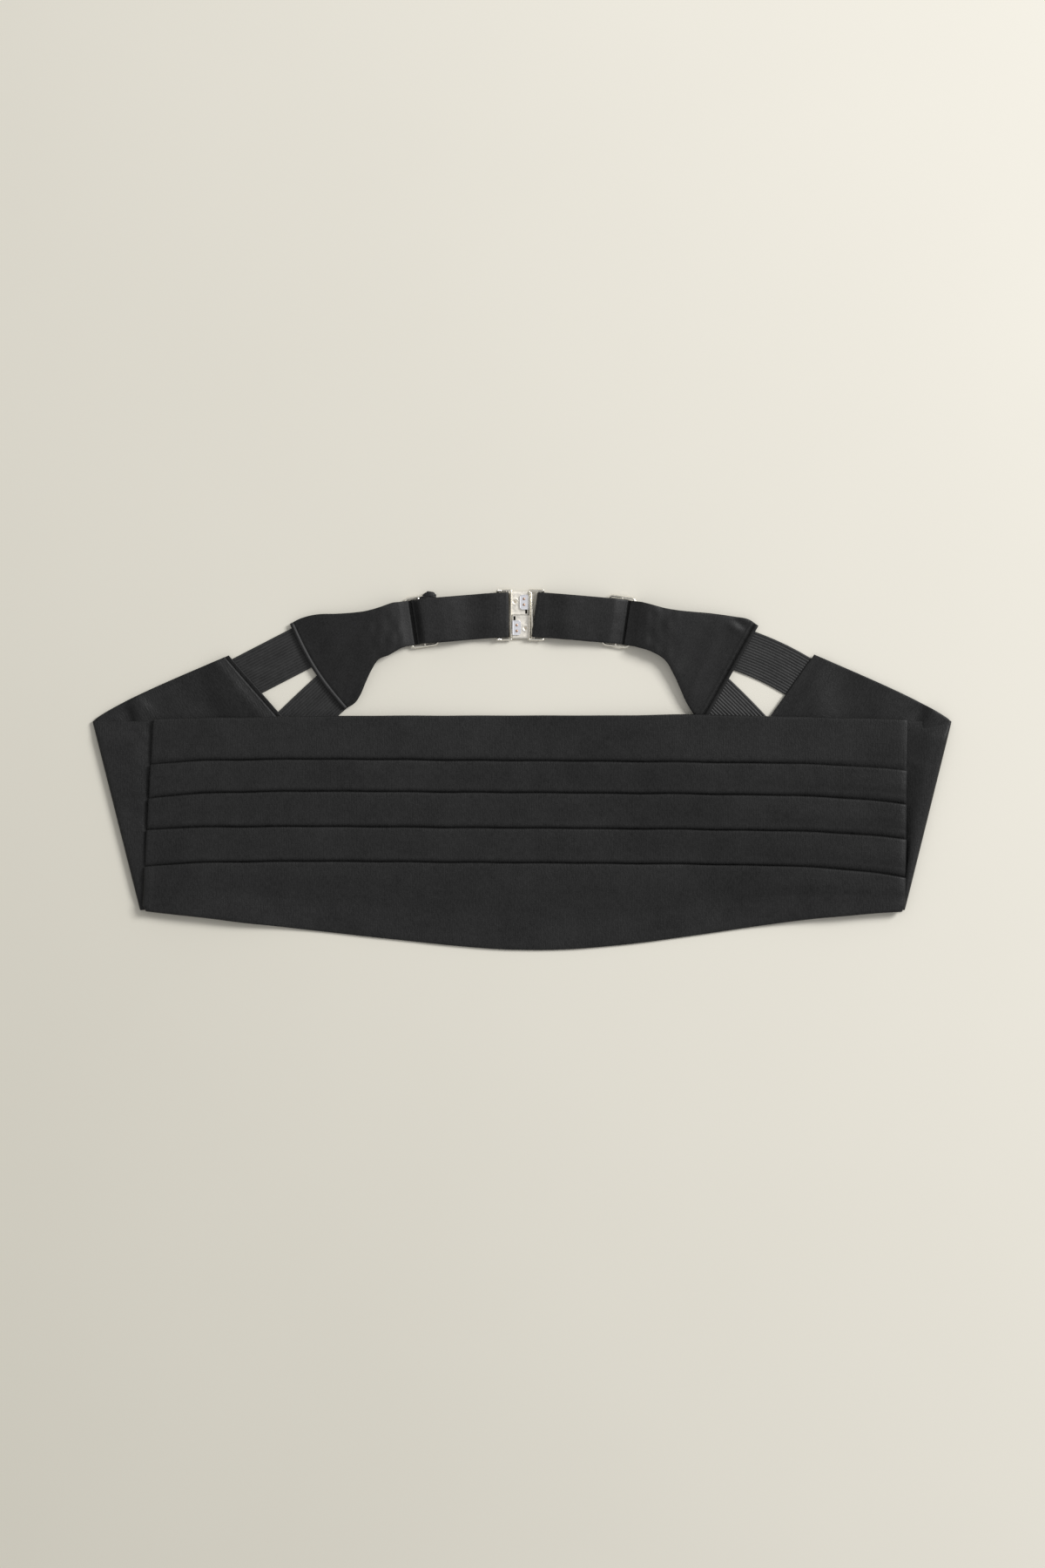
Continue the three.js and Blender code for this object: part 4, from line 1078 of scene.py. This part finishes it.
def catch_plate(name):
    """Satin plate with clipped corners and a thin raised border, and its two rivets."""
    right = RIM_PITCH / 2 - 0.475 - GAP
    left = right - 4.7
    columns = np.linspace(left, right, 34)
    rows = np.linspace(3, 11.2, 56)
    x, y = np.meshgrid(columns, rows, indexing="ij")
    floor = BAR_FLOOR + 0.9 + 0.15
    near = np.minimum(np.minimum(x - left, right - x), np.minimum(y - 3, 11.2 - y))
    z = floor + 0.35 + 0.1 * np.exp(-((near / 0.3) ** 2))
    clipped = (x[:-1, :-1] - left) + np.minimum(y[:-1, :-1] - 3, 11.2 - y[1:, 1:]) > 0.75
    plate = sheet_mesh(f"catch_{name}", np.stack([x, y, z], -1), 0.5, kept=clipped)
    heads = [rivet(f"rivet_{name}_{k}", (left + right) / 2, mix(3, 11.2, share), floor + 0.5, 0.8, 0.4)
             for k, share in enumerate([0.33, 0.72])]
    return turned_half(plate, name), [turned_half(head, name) for head in heads]


halves = {name: clasp_half(name) for name in layout}
catches = {name: catch_plate(name) for name in layout}
print("clasp pieces:", sum(len(pieces) for pieces in halves.values()) + 6)

# %% [markdown]
# ## Finishes
#
# The front and the wings are black barathea-like satin with fine ribs across the front. The yokes
# and straps are of the same black, more finely woven, and the elastics are a little lighter where
# their cords catch the light. Black cloth is never quite black: it reflects two or three per cent,
# and its nap adds a grey sheen where it turns away. The metal is bright nickel plate.

# %% Colours and nodes
def linear(hex_colour):
    """Linear colour of an sRGB hex value: ((v + 0.055) / 1.055) to the power 2.4 above 0.04."""
    value = np.array([int(hex_colour[i : i + 2], 16) / 255 for i in (1, 3, 5)])
    value = np.where(value > 0.04045, ((value + 0.055) / 1.055) ** 2.4, value / 12.92)
    return (*value.tolist(), 1.0)


def node(tree, kind, settings=None, **inputs):
    """Adds a node, sets its settings, and sets or links its inputs by name."""
    new = tree.nodes.new(kind)
    for key, value in (settings or {}).items():
        setattr(new, key, value)
    for key, value in inputs.items():
        numbered = key[0] == "n" and key[1:].isdigit()
        socket = new.inputs[int(key[1:])] if numbered else new.inputs[key.replace("_", " ")]
        if isinstance(value, bpy.types.NodeSocket):
            tree.links.new(value, socket)
        else:
            socket.default_value = value
    return new


def new_material(name):
    """An empty material and its tree."""
    material = bpy.data.materials.new(name)
    material.use_nodes = True
    material.node_tree.nodes.clear()
    return material, material.node_tree


def finish_material(tree, shader):
    """Links the shader to the surface."""
    node(tree, "ShaderNodeOutputMaterial", Surface=shader.outputs[0])


# %% Woven cloths
def period_scale(period_mm):
    """Scale at which Blender's wave texture repeats once in the period: 2π / (20 · period)."""
    return 2 * np.pi / (20 * period_mm * MM)


def blend(tree, a, b, share):
    """Mix of two values at a share."""
    return node(tree, "ShaderNodeMix", {"data_type": "FLOAT"}, n0=share, n2=a, n3=b).outputs[0]


def stretched_noise(tree, vector, across_mm, along_mm, detail=3.0, low=0.3, high=0.7):
    """Noise whose spots are so wide across and so long along the ribs, spread over the whole of 0 to 1."""
    scale = (1 / (across_mm * MM), 1 / (along_mm * MM), 1)
    mapped = node(tree, "ShaderNodeMapping", Vector=vector, Scale=scale)
    spots = node(tree, "ShaderNodeTexNoise", Vector=mapped.outputs[0], Scale=1.0, Detail=detail,
                 Roughness=0.55)
    return node(tree, "ShaderNodeMapRange", Value=spots.outputs["Fac"], From_Min=low,
                From_Max=high).outputs[0]


def woven(name, dark, light, rib_mm, depth, specular=0.25, turn=0.0, rib_share=0.2,
          distortion=3.0, evenness=0.0):
    """Cloth of one dyed yarn. Ribs are waves along the piece's own UV map, broken into short runs by a noise
    that is stretched along them, and shown in patches only unless evenness is raised. A fine noise is the
    fibres' speckle, and two slow ones are the mottling that handling leaves. The relief of ribs and fibres
    turns the sheen on and off from thread to thread."""
    material, tree = new_material(name)
    weave = node(tree, "ShaderNodeUVMap", {"uv_map": "weave"})
    vector = node(tree, "ShaderNodeMapping", Vector=weave.outputs[0],
                  Rotation=(0, 0, np.radians(turn))).outputs[0]
    ribs = node(tree, "ShaderNodeTexWave", {"bands_direction": "X"}, Vector=vector,
                Scale=period_scale(rib_mm), Distortion=distortion, Detail=2.0, Detail_Scale=1.1,
                Detail_Roughness=0.6).outputs["Fac"]
    faint = stretched_noise(tree, vector, 11, 15)
    ribs = blend(tree, 0.5, ribs, blend(tree, evenness, 1.0, faint))
    runs = stretched_noise(tree, vector, 0.75 * rib_mm, 2.0 * rib_mm, 3.0, 0.36, 0.64)
    speckle = stretched_noise(tree, vector, 0.6, 0.8, 2.0, 0.36, 0.64)
    patches = stretched_noise(tree, vector, 26, 34)
    fibres = blend(tree, runs, speckle, 0.5)
    grain = blend(tree, fibres, ribs, rib_share)
    mottle = stretched_noise(tree, vector, 6, 8)
    tone = blend(tree, blend(tree, grain, mottle, 0.2), patches, 0.22)
    colours = node(tree, "ShaderNodeMix", {"data_type": "RGBA"}, n0=tone, n6=linear(dark), n7=linear(light))
    height = blend(tree, blend(tree, ribs, runs, 0.6), speckle, 0.35)
    threads = node(tree, "ShaderNodeBump", Height=height, Strength=depth, Distance=0.3 * MM)
    shader = node(tree, "ShaderNodeBsdfPrincipled", Base_Color=colours.outputs[2], Roughness=0.5,
                  Normal=threads.outputs[0], Specular_IOR_Level=specular, Sheen_Weight=0.04,
                  Sheen_Roughness=0.4)
    finish_material(tree, shader)
    return material


# Fine-ribbed satin: ribs 1.35 mm apart, as coarse as they need to be to show
ribbed_satin = woven("fine-ribbed satin", "#010101", "#2b2b2b", 1.3, 0.38)
# The same cloth without marked ribs, for yokes: a softer, more even grey
plain_satin = woven("plain-woven satin", "#020202", "#292929", 0.95, 0.22, turn=35, rib_share=0.15)
# Ribbon with cross ribs 1 mm apart
strap_ribbon = woven("cross-ribbed ribbon", "#020202", "#2e2e2e", 1.0, 0.22)
# Knitted cover of the elastics: its colour is painted lighter on the cords, as painted highlight where they
# catch the light, and stays black between them
elastic_cover = woven("knitted elastic cover", "#030303", "#3c3c3c", ELASTIC_WIDTH / RIB_COUNT, 0.35, 0.3,
                      rib_share=0.5, distortion=0.0, evenness=0.5)
print("cloths:", [m.name for m in (ribbed_satin, plain_satin, strap_ribbon, elastic_cover)])


# %% Plated metals
def plated(name, tint, roughness, wear_mm, brushed=False):
    """Metal plate: colour and roughness vary a little with a fine noise, as handling dulls it."""
    material, tree = new_material(name)
    place = node(tree, "ShaderNodeTexCoord")
    mapped = node(tree, "ShaderNodeMapping", Vector=place.outputs["Object"],
                  Scale=(1, 9 if brushed else 1, 1))
    wear = node(tree, "ShaderNodeTexNoise", Vector=mapped.outputs[0], Scale=1 / (wear_mm * MM), Detail=4.0)
    rough = node(tree, "ShaderNodeMapRange", Value=wear.outputs["Fac"], To_Min=roughness * 0.6,
                 To_Max=roughness * 1.5)
    ramp = node(tree, "ShaderNodeValToRGB", Fac=wear.outputs["Fac"])
    ramp.color_ramp.elements[0].position = 0.25
    ramp.color_ramp.elements[0].color = tuple(0.82 * v for v in linear(tint)[:3]) + (1,)
    ramp.color_ramp.elements[1].position = 0.7
    ramp.color_ramp.elements[1].color = linear(tint)
    relief_node = node(tree, "ShaderNodeBump", Height=wear.outputs["Fac"], Strength=0.12, Distance=0.05 * MM)
    shader = node(tree, "ShaderNodeBsdfPrincipled", Base_Color=ramp.outputs[0], Metallic=1.0,
                  Roughness=rough.outputs[0], Normal=relief_node.outputs[0])
    finish_material(tree, shader)
    return material


# Wires: bright, with sharp light and dark lines along their round sides
bright_nickel = plated("bright nickel plate", "#fbf6ea", 0.24, 1.4)
# Plates: the same metal tumbled dull, which spreads the window into an even warm white
satin_nickel = plated("satin nickel plate", "#fffaf0", 0.52, 1.4)
# Catches: a cooler, faintly brushed white
satin_steel = plated("satin steel", "#f6f6fb", 0.5, 0.8, brushed=True)
# Rivets: a dull pinkish brown
copper_rivet = plated("copper-washed rivet", "#c3a592", 0.42, 0.6)
# Tongue of the hook under the slot: painted near black as painted shade, so the slot reads as a dark shadowed
# opening
slot_shade_steel = plated("shade_painted steel", "#26241f", 0.5, 0.8)
print("metals:", [m.name for m in (bright_nickel, satin_nickel, satin_steel, copper_rivet, slot_shade_steel)])

# %% [markdown]
# ## Dressing the solids
#
# Each piece gets its finish and is tied to the root body, and the solids that it stands for are hidden.

# %% Put finishes on, tie each piece to the root body, and hide the solids that it stands for
def dress(piece, material, slot_name, *nodes):
    """Gives a piece its material and its body, and hides the nodes that it stands for. slot_name is not used.
    """
    piece.data.materials.clear()
    piece.data.materials.append(material)
    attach(piece, "root")
    if nodes:
        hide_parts(*nodes)


dress(front, ribbed_satin, "pleated_cloth", "front_panel")
for name in layout:
    dress(wings[name], ribbed_satin, "plain_cloth", f"wing_{name}")
    dress(yokes[name], plain_satin, "plain_cloth", f"yoke_{name}")
    dress(straps[name], strap_ribbon, "strap_cloth", f"strap_{name}")
    dress(slides[name], bright_nickel, "slider_metal", f"slider_{name}")
    # The hook's tongue takes the near-black steel that stands in as painted shade in the slot
    for piece, metal in zip(halves[name], [satin_nickel, *[bright_nickel] * 4, slot_shade_steel]):
        dress(piece, metal, "clasp_metal", f"clasp_half_{name}")
    plate, heads = catches[name]
    dress(plate, satin_steel, "catch_metal", f"clasp_catch_{name}")
    for head in heads:
        dress(head, copper_rivet, "catch_metal", f"clasp_catch_{name}")
for name, piece in elastics.items():
    dress(piece, elastic_cover, "ribbed_elastic", name)
dress(tail, strap_ribbon, "strap_cloth", "strap_tail_left")

# %% [markdown]
# ## Floor, light and camera
#
# The cummerbund lies on a pale plastered surface and is seen from straight above. A broad soft light
# stands beyond its upper right, so every fold that faces up and to the right is bright and the
# shadows fall to the lower left.

# %% Floor
mesh = bpy.data.meshes.new("pale_surface")
reach = 3.0
mesh.from_pydata([(-reach, -reach, 0), (reach, -reach, 0), (reach, reach, 0), (-reach, reach, 0)],
                 [], [(0, 1, 2, 3)])
floor = bpy.data.objects.new("pale_surface", mesh)
bpy.context.scene.collection.objects.link(floor)
material, tree = new_material("pale plaster")
place = node(tree, "ShaderNodeTexCoord")
clouds = node(tree, "ShaderNodeTexNoise", Vector=place.outputs["Object"], Scale=3.2, Detail=5.0,
              Roughness=0.5)
grit = node(tree, "ShaderNodeTexNoise", Vector=place.outputs["Object"], Scale=900.0, Detail=2.0)
# The floor's colour is painted lighter towards the upper right, where the light stands, and darker towards
# the lower left: painted light falloff, blended with the plaster's clouds
aside = node(tree, "ShaderNodeSeparateXYZ", Vector=place.outputs["Object"])
upwards = node(tree, "ShaderNodeMath", {"operation": "MULTIPLY"}, n0=aside.outputs["Y"], n1=0.45)
slant = node(tree, "ShaderNodeMath", {"operation": "ADD"}, n0=aside.outputs["X"], n1=upwards.outputs[0])
light_falloff = node(tree, "ShaderNodeMapRange", Value=slant.outputs[0], From_Min=-0.48, From_Max=0.48).outputs[0]
ramp = node(tree, "ShaderNodeValToRGB", Fac=blend(tree, light_falloff, clouds.outputs["Fac"], 0.2))
ramp.color_ramp.elements[0].position = 0.1
ramp.color_ramp.elements[0].color = linear("#d4d0c3")
ramp.color_ramp.elements[1].position = 0.9
ramp.color_ramp.elements[1].color = linear("#efebe0")
relief_node = node(tree, "ShaderNodeBump", Height=grit.outputs["Fac"], Strength=0.1, Distance=0.1 * MM)
shader = node(tree, "ShaderNodeBsdfPrincipled", Base_Color=ramp.outputs[0], Roughness=0.9,
              Normal=relief_node.outputs[0])
finish_material(tree, shader)
floor.data.materials.append(material)

# %% Light
WORLD_STRENGTH = 0.47
world = bpy.data.worlds.new("soft room")
bpy.context.scene.world = world
world.use_nodes = True
world.node_tree.nodes["Background"].inputs["Color"].default_value = (1, 1, 1, 1)
world.node_tree.nodes["Background"].inputs["Strength"].default_value = WORLD_STRENGTH


def soft_light(name, place, size, power, target=(0, 0, 0)):
    """A square area light at a place in metres, aimed at the target."""
    lamp = bpy.data.lights.new(name, "AREA")
    lamp.size = size
    lamp.energy = power
    made = bpy.data.objects.new(name, lamp)
    made.location = place
    made.rotation_euler = (Vector(target) - Vector(place)).to_track_quat("-Z", "Y").to_euler()
    bpy.context.scene.collection.objects.link(made)
    return made


soft_light("window", (4.4, 2.75, 3.75), 2.25, 362)
bpy.context.scene.view_settings.view_transform = "Standard"
bpy.context.scene.view_settings.look = "None"

# %% Camera straight above, framed as the photograph
PIXEL = 0.485
PHOTO_SIZE = (1200, 1800)
PART_MIDDLE = (599.5, 883.5)
FRAME_HEIGHT = PHOTO_SIZE[1] * PIXEL
CAMERA_HEIGHT = 4.0
SENSOR_WIDTH = 36
camera_data = bpy.data.cameras.new("camera")
camera = bpy.data.objects.new("camera", camera_data)
bpy.context.scene.collection.objects.link(camera)
camera_data.sensor_width = SENSOR_WIDTH
camera_data.lens = SENSOR_WIDTH * CAMERA_HEIGHT / (FRAME_HEIGHT * MM)
camera.location = ((PHOTO_SIZE[0] / 2 - PART_MIDDLE[0]) * PIXEL * MM,
                   (PART_MIDDLE[1] - PHOTO_SIZE[1] / 2) * PIXEL * MM, CAMERA_HEIGHT)
bpy.context.scene.camera = camera
